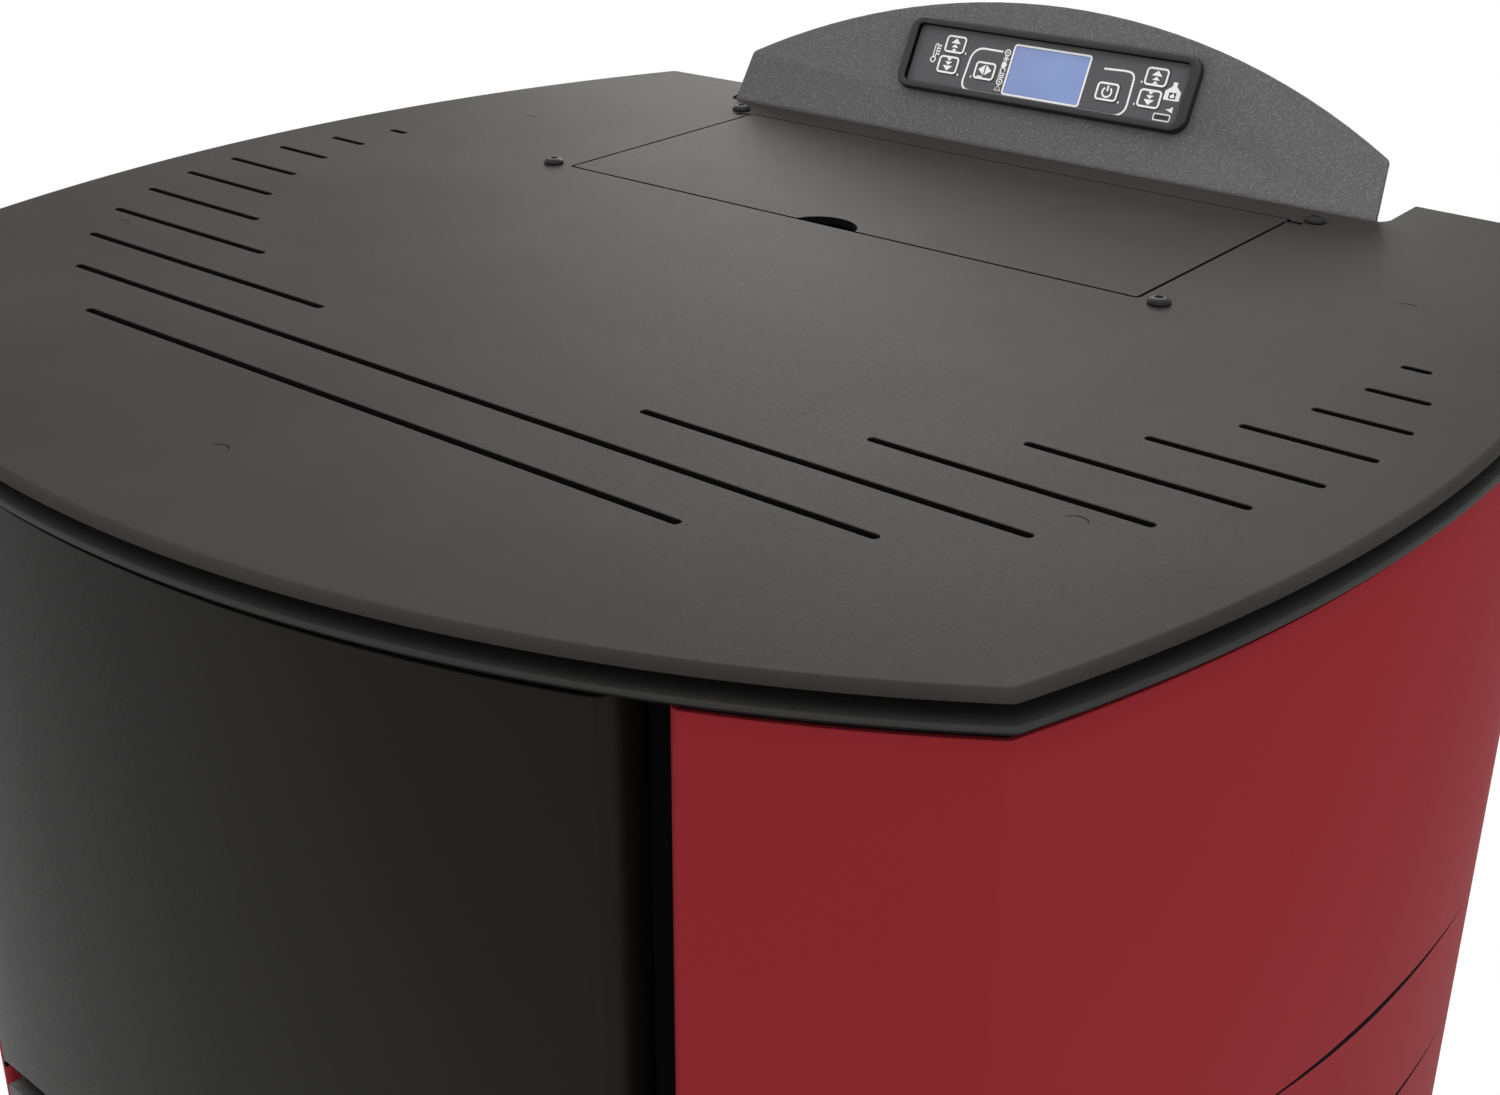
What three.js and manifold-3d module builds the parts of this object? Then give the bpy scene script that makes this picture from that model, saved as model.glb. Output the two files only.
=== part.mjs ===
// A free-standing pellet stove: curved steel casing, hopper lid and leaning key panel on top,
// fire door and ash drawer in front, and the auger, burn pot and fans inside.
// Millimetres, +Z up, -Y is the stove's front. The origin is on the floor, in the middle of the footprint.
import * as THREE from 'three';
import { mergeVertices } from 'three/addons/utils/BufferGeometryUtils.js';
import Module from 'manifold-3d';

const wasm = await Module();
wasm.setup();

// ---- Driving dimensions ----

// Clearances
const gap = 0.3;                    // between pieces that rest on each other
const runningGap = 0.8;             // between a lid, key or drawer and the hole it moves in

// Plan of the top plate: a front arc, two side arcs and a straight back
const frontRadius = 472;
const frontY = -243.3;
const sideRadius = 614;
const halfWidth = 304;
const widestY = 48.4;
const backY = 307.4;
const cornerRadius = 5;
const arcStep = THREE.MathUtils.degToRad(2);

// Rim, from the top down
const topZ = 1050;
const plateThickness = 3.5;
const recessHeight = 5;
const recessInset = 11;
const recessWidth = 8;
const ringThickness = 3;
const ringOutset = 2.5;
const ringWidth = 30;

// Back cut-out of the plate and ring, where the key panel stands
const cutoutHalfWidth = 180.6;
const cutoutY = 272.7;
const cutoutCorner = 8;

// Air slots: row number k lies at y = slotRowY - k * slotPitch
const slotPitch = 28;
const slotRowY = 140;
const slotWidth = 3.4;
const slotOuterReach = halfWidth - 24;    // half-axis across of the ellipse that the slots' outer ends follow
const slotOuterY = 40.8;
const slotOuterAspect = 1.328;
const slotInnerReach = halfWidth - 51.2;  // the same for their inner ends
const slotInnerY = 103.9;
const slotInnerAspect = 1.278;
const slotRows = 10;

// Hopper lid
const lidHalfWidth = 147;
const lidFrontY = 119.7;
const lidBackY = 253.1;
const lidGap = 0.8;
const fingerNotchHalf = 15;
const fingerNotchDepth = 11;
const pivotInset = 3.5;             // from the lid's back edge to its pivot axis
const pivotRadius = 1.5;
const pivotLength = 6;

// Button-head screws
const screwX = 157;
const screwFrontY = 118;
const screwBackY = 256.2;
const screwHeadRadius = 4.6;
const screwHeadHeight = 2.6;
const screwShankRadius = 2.5;
const screwLength = 14;

// Key panel: a sheet that leans back behind the lid, with an arched top
const consoleY = 275;
const consoleLean = THREE.MathUtils.degToRad(27);
const consoleHalfWidth = 176.2;
const consoleShoulderHalf = 173.7;
const consoleShoulder = 26.2;
const consolePeak = 72;
const consoleSheet = 2;
const consoleLeg = 34;
const coverHalfWidth = 100;
const coverTop = 57;
const coverDepth = 15;
const coverWall = 1.5;

// Keypad, in the key panel's own plane: x across, s up the slope
const keypadX = 1.3;
const keypadS = 39.1;
const bezelWidth = 154;
const bezelHeight = 35;
const bezelBand = 3;
const bezelProud = 3.6;
const keypadFace = 0.6;
const keyWidth = 10.1;
const keyHeight = 8.4;
const keyProud = 1.1;
const keyCorner = 1.6;
const lcdWidth = 40.8;
const lcdHeight = 23.4;
const boardThickness = 1.6;

// Casing
const footHeight = 30;
const footPadRadius = 24;
const footX = halfWidth - 119;
const footFrontY = -105;
const footBackY = 235;
const baseThickness = 4;
const panelInset = 1;
const sheet = 2;
const panelTopGap = 0.8;
const seamX = halfWidth - 111.5;    // where the side panel's front edge lies
const frontPanelHalf = seamX - 8;
const bendRadius = 8;
const frameDepth = 26;              // from the front panels' faces back to the front frame
const frameThickness = 4;
const frameHalfWidth = seamX + 12.5;
const backFlange = 22;
const ventCount = 7;
const ventZ = 880;
const ventPitch = 14;
const ventHeight = 3.6;
const ventInner = 60;
const ventOuter = 160;

// Fire door and what lies above and below it
const archRadius = 290;
const archDrop = 262;               // from the top surface to the top of the arch
const archGap = 10;
const doorBottomZ = 336;
const doorHalfWidth = frontPanelHalf - 2.5;
const doorDepth = 18;
const doorBorder = 48;
const doorCorner = 5;
const glassThickness = 3.7;
const glassRebate = 9;
const gasketWidth = 14;
const hingeX = doorHalfWidth - 10;
const hingeDepth = 9;
const hingePinRadius = 3;
const hingeLug = 6;
const handleX = doorHalfWidth - 19;
const handleZ = 600;
const handleStandOff = 44;
const handleLength = 150;
const handleRadius = 8;
const spindleRadius = 5;
const latchDepth = 21.8;            // the tongue's front face, behind the panels' faces
const latchThickness = 3;
const latchReach = 13;
const latchHalf = 4;
const keeperThickness = 2;

// Ash drawer and the lower front panel
const drawerFrontTop = 326;
const drawerFrontBottom = 196;
const frontJoint = 6;               // gap between two front pieces
const railHeight = 5;
const drawerHalfWidth = doorHalfWidth - 50;
const drawerHeight = 92;
const drawerBackY = 50;
const fingerGripHalf = 46;
const fingerGripDepth = 12;

// Firebox and burn pot
const fireboxHalfWidth = doorHalfWidth - 32;
const fireboxBackY = -5;
const fireboxTopZ = 640;
const fireboxWall = 4;
const shelfZ = 366;
const shelfThickness = 4;
const potY = -92;
const potRadius = 55;
const potFootRadius = 42;
const potHeight = 62;
const potWall = 3;
const linerThickness = 4;
const portRise = 34;                // from the shelf to the middle of the smoke port

// Hopper and auger
const hopperStraightZ = 770;
const hopperThroatZ = 590;
const hopperWall = 2;
const hopperSideLedge = 9;
const hopperBackY = 259;
const throatHalf = 31;
const throatBackY = 250;
const augerTubeRadius = 30;
const augerWall = 2;
const augerLength = 225;
const augerLowY = 258;
const augerLowZ = 466;
const augerScrewRadius = 25;
const augerShaftRadius = 7;
const augerPitch = 42;
const flightThickness = 3;
const gearboxLength = 38;
const gearmotorLength = 46;
const gearmotorCap = 6;
const gearboxSocket = 16;
const chuteHalf = 24;
const chuteOutZ = 512;

// Fans, flue and air inlet
const flueX = 95;
const flueZ = 150;
const flueRadius = 40;
const flueWall = 1.5;
const pipeReach = 38;               // how far the pipes stand out behind the back panel
const volutesY = 150;
const volutesZ = 190;
const volutesRadius = 75;
const voluteWidth = 50;
const voluteWall = 2;
const impellerRadius = 52;
const airInletX = -fireboxHalfWidth + 62;
const airInletZ = 392;
const airInletRadius = 25;
const roomFanY = 226;
const roomFanZ = 100;
const roomFanX0 = -halfWidth + 114;
const roomFanX1 = -20;
const roomRotorRadius = 30;

// Electrical parts at the back
const mainsX = -halfWidth + 134;
const mainsZ = 215;
const boardX = -halfWidth + 139;
const boardZ = 590;

// ---- Materials ----

const steelTop = new THREE.MeshStandardMaterial({ color: 0x575653, roughness: 0.62, metalness: 0.3 });
const steelBlack = new THREE.MeshStandardMaterial({ color: 0x232322, roughness: 0.55, metalness: 0.3 });
const recessBlack = new THREE.MeshStandardMaterial({ color: 0x0c0c0c, roughness: 0.9, metalness: 0.1 });
const redEnamel = new THREE.MeshStandardMaterial({ color: 0x83282e, roughness: 0.45, metalness: 0.1 });
const speckledGrey = new THREE.MeshStandardMaterial({ color: 0x4b4b4c, roughness: 0.7, metalness: 0.4 });
const moulded = new THREE.MeshStandardMaterial({ color: 0x17181a, roughness: 0.5, metalness: 0 });
const keypadGrey = new THREE.MeshStandardMaterial({ color: 0x525254, roughness: 0.5, metalness: 0 });
const lcdBlue = new THREE.MeshStandardMaterial({ color: 0x8fa5d6, roughness: 0.2, metalness: 0 });
const circuitGreen = new THREE.MeshStandardMaterial({ color: 0x1f5a38, roughness: 0.5, metalness: 0.1 });
const galvanised = new THREE.MeshStandardMaterial({ color: 0x9a9c9c, roughness: 0.45, metalness: 0.9 });
const castIron = new THREE.MeshStandardMaterial({ color: 0x3a3937, roughness: 0.8, metalness: 0.6 });
const fasteners = new THREE.MeshStandardMaterial({ color: 0x2b2b2b, roughness: 0.4, metalness: 0.8 });
const ceramicGlass = new THREE.MeshStandardMaterial({ color: 0x2e2a26, roughness: 0.08, metalness: 0 });
const ropeSeal = new THREE.MeshStandardMaterial({ color: 0xb9b3a4, roughness: 0.95, metalness: 0 });
const satinSteel = new THREE.MeshStandardMaterial({ color: 0xb5b6b6, roughness: 0.35, metalness: 1 });

// ---- Solids: joining, cutting and placing ----

// Turns a closed geometry into a manifold solid.
function toManifold(geometry) {
  const bare = geometry.index ? geometry.toNonIndexed() : geometry.clone();
  for (const attribute of Object.keys(bare.attributes)) {
    if (attribute !== 'position') bare.deleteAttribute(attribute);
  }
  const merged = mergeVertices(bare, 1e-4);
  const mesh = new wasm.Mesh({
    numProp: 3,
    vertProperties: new Float32Array(merged.attributes.position.array),
    triVerts: new Uint32Array(merged.index.array),
  });
  return new wasm.Manifold(mesh);
}

// Turns a manifold solid back into a geometry.
function toGeometry(solid) {
  const mesh = solid.getMesh();
  const geometry = new THREE.BufferGeometry();
  geometry.setAttribute('position', new THREE.BufferAttribute(new Float32Array(mesh.vertProperties), 3));
  geometry.setIndex(new THREE.BufferAttribute(new Uint32Array(mesh.triVerts), 1));
  const flat = geometry.toNonIndexed();
  flat.computeVertexNormals();
  return flat;
}

function join(first, ...rest) {
  return toGeometry(rest.reduce((solid, other) => solid.add(toManifold(other)), toManifold(first)));
}

function cut(first, ...rest) {
  return toGeometry(rest.reduce((solid, other) => solid.subtract(toManifold(other)), toManifold(first)));
}

function common(first, other) {
  return toGeometry(toManifold(first).intersect(toManifold(other)));
}

function addPiece(parent, name, geometry, material) {
  const mesh = new THREE.Mesh(geometry, material);
  mesh.name = name;
  parent.add(mesh);
  return mesh;
}

// ---- Plain shapes ----

const point = (x, y) => new THREE.Vector2(x, y);

function box(x0, x1, y0, y1, z0, z1) {
  const geometry = new THREE.BoxGeometry(x1 - x0, y1 - y0, z1 - z0);
  return geometry.translate((x0 + x1) / 2, (y0 + y1) / 2, (z0 + z1) / 2);
}

// A prism that stands on the XY plane, from an outline and its holes.
function prism(points, z0, z1, holes = []) {
  const shape = new THREE.Shape(points);
  shape.holes = holes.map((hole) => new THREE.Path(hole));
  const geometry = new THREE.ExtrudeGeometry(shape, { depth: z1 - z0, bevelEnabled: false, steps: 1 });
  return geometry.translate(0, 0, z0);
}

// A prism through the front: its outline is drawn in x and z, and it runs from y0 to y1.
function wall(points, y0, y1, holes = []) {
  return prism(points, 0, y1 - y0, holes).rotateX(Math.PI / 2).translate(0, y1, 0);
}

// A prism across the stove: its outline is drawn in y and z, and it runs from x0 to x1.
function beam(points, x0, x1) {
  return prism(points, 0, x1 - x0).rotateY(Math.PI / 2).rotateX(Math.PI / 2).translate(x0, 0, 0);
}

// A cylinder from one point to another.
function rod(from, to, radius, sides = 24) {
  const along = new THREE.Vector3().subVectors(to, from);
  const geometry = new THREE.CylinderGeometry(radius, radius, along.length(), sides);
  const up = new THREE.Vector3(0, 1, 0);
  const turn = new THREE.Quaternion().setFromUnitVectors(up, along.clone().normalize());
  const middle = new THREE.Vector3().addVectors(from, to).multiplyScalar(0.5);
  return geometry.applyQuaternion(turn).translate(middle.x, middle.y, middle.z);
}

const at = (x, y, z) => new THREE.Vector3(x, y, z);

// A solid of revolution about +Z from [radius, height] pairs that start and end on the axis.
function turned(profile, sides = 32) {
  const geometry = new THREE.LatheGeometry(profile.map(([r, z]) => point(r, z)), sides);
  return geometry.rotateX(Math.PI / 2);
}

// Points of an arc, both ends included.
function arc(centreX, centreY, radius, from, to, step = arcStep) {
  const count = Math.max(2, Math.ceil(Math.abs(to - from) / step));
  return Array.from({ length: count + 1 }, (_, i) => {
    const angle = from + (to - from) * i / count;
    return point(centreX + radius * Math.cos(angle), centreY + radius * Math.sin(angle));
  });
}

// A rectangle with round corners, anticlockwise.
function roundedRectangle(centreX, centreY, width, height, radius, step = Math.PI / 8) {
  const x = width / 2 - radius;
  const y = height / 2 - radius;
  return [
    ...arc(centreX + x, centreY - y, radius, -Math.PI / 2, 0, step),
    ...arc(centreX + x, centreY + y, radius, 0, Math.PI / 2, step),
    ...arc(centreX - x, centreY + y, radius, Math.PI / 2, Math.PI, step),
    ...arc(centreX - x, centreY - y, radius, Math.PI, 1.5 * Math.PI, step),
  ];
}

// Rounds each sharp corner of a polyline or an outline.
function rounded(points, radius, closed, sharp = 0.3) {
  const result = [];
  points.forEach((corner, i) => {
    const before = points[(i + points.length - 1) % points.length];
    const after = points[(i + 1) % points.length];
    const inward = corner.clone().sub(before).normalize();
    const outward = after.clone().sub(corner).normalize();
    const turn = Math.acos(THREE.MathUtils.clamp(inward.dot(outward), -1, 1));
    const isEnd = !closed && (i === 0 || i === points.length - 1);
    if (isEnd || turn < sharp) {
      result.push(corner);
      return;
    }
    const back = radius * Math.tan(turn / 2);
    const side = Math.sign(inward.cross(outward));
    const start = corner.clone().addScaledVector(inward, -back);
    const centre = start.clone().add(point(-inward.y, inward.x).multiplyScalar(side * radius));
    const from = Math.atan2(start.y - centre.y, start.x - centre.x);
    result.push(...arc(centre.x, centre.y, radius, from, from + side * turn, Math.PI / 10));
  });
  return result;
}

// A bent sheet seen in plan: the outer face's path, made thick towards its left side.
function bentSheet(path, thickness) {
  const inner = path.map((corner, i) => {
    const before = path[Math.max(i - 1, 0)];
    const after = path[Math.min(i + 1, path.length - 1)];
    const first = corner.clone().sub(before);
    const second = after.clone().sub(corner);
    const a = (first.lengthSq() > 0 ? first : second).clone().normalize();
    const b = (second.lengthSq() > 0 ? second : first).clone().normalize();
    const normal = point(-a.y - b.y, a.x + b.x).normalize();
    const stretch = 1 / Math.max(0.5, normal.dot(point(-a.y, a.x)));
    return corner.clone().addScaledVector(normal, thickness * stretch);
  });
  return [...path, ...inner.reverse()];
}

// ---- Plan of the casing ----

const frontCentreY = frontY + frontRadius;
const sideCentreX = halfWidth - sideRadius;

// Where the front arc meets the right side arc, both moved inward by the inset.
function frontCorner(inset) {
  const r1 = frontRadius - inset;
  const r2 = sideRadius - inset;
  const between = point(sideCentreX, widestY - frontCentreY);
  const distance = between.length();
  const along = (r1 * r1 - r2 * r2 + distance * distance) / (2 * distance);
  const across = Math.sqrt(r1 * r1 - along * along);
  const unit = between.clone().normalize();
  return point(unit.x * along - unit.y * across, frontCentreY + unit.y * along + unit.x * across);
}

// The angle on the front circle at a distance x from the middle.
const frontAngle = (x, inset) => Math.asin(x / (frontRadius - inset)) - Math.PI / 2;

// The y of the front surface at x, at a depth behind the top plate's outline.
function frontSurface(x, depth) {
  return frontCentreY - Math.sqrt((frontRadius - depth) ** 2 - x * x);
}

// The half width of the casing at y.
function sideSurface(y, inset) {
  return sideCentreX + Math.sqrt((sideRadius - inset) ** 2 - (y - widestY) ** 2);
}

// The right side arc, from the front corner to the back.
function sideArc(inset, endY) {
  const radius = sideRadius - inset;
  const corner = frontCorner(inset);
  const from = Math.asin((corner.y - widestY) / radius);
  const to = Math.asin((endY - widestY) / radius);
  return arc(sideCentreX, widestY, radius, from, to);
}

const mirrored = (points) => points.map((p) => point(-p.x, p.y)).reverse();

// The closed outline of the top, moved inward by the inset.
function topOutline(inset) {
  const corner = frontCorner(inset);
  const angle = frontAngle(corner.x, inset);
  const front = arc(0, frontCentreY, frontRadius - inset, -Math.PI - angle, angle);
  const side = sideArc(inset, backY - inset);
  const outline = [...front, ...side.slice(1), ...mirrored(side).slice(0, -1)];
  return rounded(outline, cornerRadius, true);
}

// A curved block behind the front surface, between two depths, half an arc of halfWide each way.
function frontSector(depthOut, depthIn, halfWide, corner = 0) {
  const outer = frontAngle(halfWide, depthOut);
  const points = [
    ...arc(0, frontCentreY, frontRadius - depthOut, -Math.PI - outer, outer),
    ...arc(0, frontCentreY, frontRadius - depthIn, outer, -Math.PI - outer),
  ];
  return corner > 0 ? rounded(points, corner, true, 1) : points;
}

const throughY0 = frontY - 60;
const throughY1 = 20;

// ---- Fire door's arched outline ----

const archCentreZ = topZ - archDrop - archRadius;
const archTopZ = (x, radius) => archCentreZ + Math.sqrt(radius * radius - x * x);

// An outline in x and z with an arched top that follows the arch.
function archedOutline(halfWide, bottomZ, radius, corner) {
  const side = Math.asin(halfWide / radius);
  const points = [
    point(-halfWide, bottomZ),
    point(halfWide, bottomZ),
    ...arc(0, archCentreZ, radius, Math.PI / 2 - side, Math.PI / 2 + side, Math.PI / 45),
  ];
  return corner > 0 ? rounded(points, corner, true) : points;
}

// ---- Heights and the pipes' ends, worked out ----

const plateBottomZ = topZ - plateThickness;
const ringTopZ = plateBottomZ - recessHeight;
const ringBottomZ = ringTopZ - ringThickness;
const panelTopZ = ringBottomZ - panelTopGap;
const baseTopZ = footHeight + baseThickness;
const panelBottomZ = baseTopZ + gap;
const faceInset = panelInset;
const frameFace = faceInset + frameDepth;
const frameBack = frameFace + frameThickness;
const backPanelY = backY - faceInset - sheet;
const pipeEndY = backPanelY + sheet + pipeReach;
const handleAngle = Math.asin(handleX / (frontRadius - faceInset));
const handleOut = frontRadius - faceInset + handleStandOff;
const handleFrontY = frontCentreY - handleOut * Math.cos(handleAngle) - handleRadius;
const originY = (handleFrontY + pipeEndY) / 2;

const stove = new THREE.Group();
stove.position.set(0, -originY, 0);

// ---- Top: plate, recess frame, ring, lid, screws ----

const pivotY = lidBackY - pivotInset;
const pivotZ = topZ - plateThickness / 2;

// The slots' ends lie on two ellipses.
function ellipseReach(y, reach, centreY, aspect) {
  return Math.sqrt(Math.max(0, reach ** 2 - (aspect * (y - centreY)) ** 2));
}

function slotOutline(x0, x1, y) {
  return roundedRectangle((x0 + x1) / 2, y, x1 - x0, slotWidth, slotWidth / 2 - 0.01, Math.PI / 4);
}

function airSlots() {
  const slots = [];
  for (let row = 1; row <= slotRows; row += 1) {
    const y = slotRowY - row * slotPitch;
    const outer = ellipseReach(y, slotOuterReach, slotOuterY, slotOuterAspect);
    const inner = ellipseReach(y, slotInnerReach, slotInnerY, slotInnerAspect);
    if (inner > slotWidth) {
      slots.push(slotOutline(inner, outer, y), slotOutline(-outer, -inner, y));
    } else {
      slots.push(slotOutline(-outer, outer, y));
    }
  }
  return slots;
}

const screwPlaces = [
  [-screwX, screwFrontY], [screwX, screwFrontY], [screwX, screwBackY], [-screwX, screwBackY],
];

function backCutout(inset, z0, z1) {
  const right = cutoutHalfWidth;
  const far = backY + ringOutset + cutoutCorner + inset;
  const height = far - cutoutY;
  return prism(roundedRectangle(0, cutoutY + height / 2, 2 * right, height, cutoutCorner), z0, z1);
}

function lidOpening() {
  const width = 2 * (lidHalfWidth + lidGap);
  const depth = lidBackY - lidFrontY + 2 * lidGap;
  return roundedRectangle(0, (lidBackY + lidFrontY) / 2, width, depth, 2, Math.PI / 4);
}

function pivotNotches(clearance) {
  const reach = lidHalfWidth + pivotLength + clearance;
  const half = pivotRadius + clearance;
  return box(-reach, reach, pivotY - half, pivotY + half, plateBottomZ - 1, topZ + 1);
}

function topPlate() {
  const screwHoles = screwPlaces.map(([x, y]) => {
    return arc(x, y, screwShankRadius + gap, 0, 2 * Math.PI, Math.PI / 6).slice(0, -1);
  });
  const plate = prism(topOutline(0), plateBottomZ, topZ, [...airSlots(), ...screwHoles, lidOpening()]);
  return cut(plate, backCutout(0, plateBottomZ - 1, topZ + 1), pivotNotches(runningGap));
}

function recessFrame() {
  const inner = topOutline(recessInset + recessWidth);
  const ring = prism(topOutline(recessInset), ringTopZ, plateBottomZ, [inner]);
  return cut(ring, backCutout(0, ringTopZ - 1, plateBottomZ + 1));
}

function rimRing() {
  const ring = prism(topOutline(-ringOutset), ringBottomZ, ringTopZ, [topOutline(ringWidth)]);
  return cut(ring, backCutout(0, ringBottomZ - 1, ringTopZ + 1));
}

function hopperLid() {
  const centreY = (lidBackY + lidFrontY) / 2;
  const outline = roundedRectangle(0, centreY, 2 * lidHalfWidth, lidBackY - lidFrontY, 1.5, Math.PI / 4);
  const notchRadius = (fingerNotchHalf ** 2 + fingerNotchDepth ** 2) / (2 * fingerNotchDepth);
  const notchY = lidFrontY + fingerNotchDepth - notchRadius;
  const notch = rod(at(0, notchY, plateBottomZ - 1), at(0, notchY, topZ + 1), notchRadius, 48);
  const reach = lidHalfWidth + pivotLength;
  const pivot = rod(at(-reach, pivotY, pivotZ), at(reach, pivotY, pivotZ), pivotRadius, 12);
  const middle = lidHalfWidth - 12;
  const clearance = box(-middle, middle, pivotY - 2, pivotY + 2, plateBottomZ - 1, topZ + 1);
  return cut(join(prism(outline, plateBottomZ, topZ), cut(pivot, clearance)), notch);
}

function buttonScrew() {
  const h = screwHeadHeight;
  const r = screwHeadRadius;
  const socket = 1.5;
  const profile = [
    [0, -screwLength], [screwShankRadius, -screwLength], [screwShankRadius, 0], [r, 0], [r * 0.93, h * 0.5],
    [r * 0.6, h], [socket, h], [socket, h - 1.4], [0, h - 1.4],
  ];
  return turned(profile, 18);
}

addPiece(stove, 'top_plate', topPlate(), steelTop);
addPiece(stove, 'recess_frame', recessFrame(), recessBlack);
addPiece(stove, 'rim_ring', rimRing(), steelTop);
addPiece(stove, 'hopper_lid', hopperLid(), steelTop);
screwPlaces.forEach(([x, y], i) => {
  addPiece(stove, `top_screw_${i + 1}`, buttonScrew(), fasteners).position.set(x, y, topZ + gap);
});

// ---- Key panel and keypad ----

// The key panel's plane: local x across, y up the slope, z out of its face.
const consoleTilt = Math.PI / 2 - consoleLean;
const consolePlane = new THREE.Matrix4().makeRotationX(consoleTilt).setPosition(0, consoleY, topZ);

function consoleFace() {
  const rise = consolePeak - consoleShoulder;
  const radius = (consoleShoulderHalf ** 2 + rise ** 2) / (2 * rise);
  const side = Math.asin(consoleShoulderHalf / radius);
  const outline = [
    point(-consoleHalfWidth, 0),
    point(consoleHalfWidth, 0),
    ...arc(0, consolePeak - radius, radius, Math.PI / 2 - side, Math.PI / 2 + side),
  ];
  return rounded(outline, 3, true);
}

const windowWidth = bezelWidth - 2 * bezelBand;
const windowHeight = bezelHeight - 2 * bezelBand;

function consolePanel() {
  const opening = roundedRectangle(keypadX, keypadS, windowWidth + 1, windowHeight + 1, 3);
  const face = prism(consoleFace(), -consoleSheet, 0, [opening]).applyMatrix4(consolePlane);
  const legTop = topZ + 1;
  const half = consoleHalfWidth;
  const leg = box(-half, half, consoleY, consoleY + consoleSheet, topZ - consoleLeg, legTop);
  const overFace = box(-half - 1, half + 1, -1, 3, 0, 3).applyMatrix4(consolePlane);
  return join(face, cut(leg, overFace));
}

function bezel() {
  const outer = roundedRectangle(keypadX, keypadS, bezelWidth, bezelHeight, 5);
  const inner = roundedRectangle(keypadX, keypadS, windowWidth, windowHeight, 2.5);
  return prism(outer, gap, bezelProud, [inner]);
}

const keyPlaces = {
  key_left_up: [-54, 6.9],
  key_left_down: [-55, -3.5],
  key_menu: [-33.6, -3.6],
  key_power: [33.8, -3.9],
  key_right_up: [56.3, 6.5],
  key_right_down: [55.8, -3.9],
};
const lcdShift = -0.3;
const lcdRise = -0.8;

function keyOutline([x, s], extra) {
  return roundedRectangle(keypadX + x, keypadS + s, keyWidth + extra, keyHeight + extra, keyCorner);
}

function lcdOutline(extra) {
  const width = lcdWidth + extra;
  const height = lcdHeight + extra;
  return roundedRectangle(keypadX + lcdShift, keypadS + lcdRise, width, height, 0.8, Math.PI / 4);
}

function keypadPlate() {
  const outline = roundedRectangle(keypadX, keypadS, windowWidth - 2 * gap, windowHeight - 2 * gap, 2.2);
  const holes = Object.values(keyPlaces).map((place) => keyOutline(place, 2 * gap));
  return prism(outline, -consoleSheet, keypadFace, [...holes, lcdOutline(2 * gap)]);
}

const consoleGroup = new THREE.Group();
consoleGroup.position.set(0, consoleY, topZ);
consoleGroup.rotation.x = consoleTilt;
stove.add(consoleGroup);

function keypadBoard() {
  const outline = roundedRectangle(keypadX, keypadS, bezelWidth + 6, bezelHeight - 3, 2, Math.PI / 4);
  return prism(outline, -consoleSheet - gap - boardThickness, -consoleSheet - gap);
}

function consoleCover() {
  const front = -consoleSheet - gap;
  const w = coverWall;
  const half = coverHalfWidth;
  const footing = 3;
  const hood = box(-half, half, footing, coverTop, front - coverDepth, front).applyMatrix4(consolePlane);
  const hoodRoom = box(-half + w, half - w, footing - 1, coverTop - w, front - coverDepth + w, front + 1)
    .applyMatrix4(consolePlane);
  const y0 = consoleY + consoleSheet + gap;
  const y1 = backPanelY - gap;
  const bottom = topZ - consoleLeg;
  const lift = 7;
  const sill = box(-half, half, y0, y1, bottom, topZ + lift);
  const sillRoom = box(-half + w, half - w, y0 - 1, y1 - w, bottom + w, topZ + lift + 1);
  const panelHalf = consoleHalfWidth;
  const panelRoom = box(-panelHalf, panelHalf, -10, coverTop, front, 60).applyMatrix4(consolePlane);
  return cut(join(hood, cut(sill, panelRoom)), hoodRoom, sillRoom);
}

addPiece(stove, 'console_panel', consolePanel(), speckledGrey);
addPiece(stove, 'console_back_cover', consoleCover(), steelBlack);
addPiece(consoleGroup, 'keypad_bezel', bezel(), moulded);
addPiece(consoleGroup, 'keypad_plate', keypadPlate(), keypadGrey);
addPiece(consoleGroup, 'keypad_board', keypadBoard(), circuitGreen);
addPiece(consoleGroup, 'lcd_display', prism(lcdOutline(0), -consoleSheet, keypadFace - 0.2), lcdBlue);
for (const [name, place] of Object.entries(keyPlaces)) {
  addPiece(consoleGroup, name, prism(keyOutline(place, 0), -1.2, keyProud), keypadGrey);
}

// ---- Casing: base, feet, side, front and back panels ----

function basePlate() {
  return prism(topOutline(faceInset + sheet), footHeight, baseTopZ);
}

function levellingFoot() {
  const pad = footPadRadius;
  const stud = 6;
  const top = footHeight - gap;
  const profile = [
    [0, 0], [pad, 0], [pad, 6], [pad - 3, 9], [stud, 12], [stud, 16], [10, 16], [10, 23], [stud, 23],
    [stud, top], [0, top],
  ];
  return turned(profile, 18);
}

// The side panel's outer face in plan, from its front edge round to its back flange.
function sidePanelPath() {
  const radius = frontRadius - faceInset;
  const seam = frontAngle(seamX, faceInset);
  const corner = frontCorner(faceInset);
  const front = arc(0, frontCentreY, radius, seam, frontAngle(corner.x, faceInset));
  const side = sideArc(faceInset, backY - faceInset);
  const flange = point(front[0].x * (1 - frameDepth / radius), front[0].y);
  flange.y = frontCentreY + (front[0].y - frontCentreY) * (1 - (frameDepth - gap) / radius);
  flange.x = front[0].x * (1 - (frameDepth - gap) / radius);
  const last = side[side.length - 1];
  return rounded([flange, ...front, ...side.slice(1), point(last.x - backFlange, last.y)], 3.5, false);
}

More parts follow.
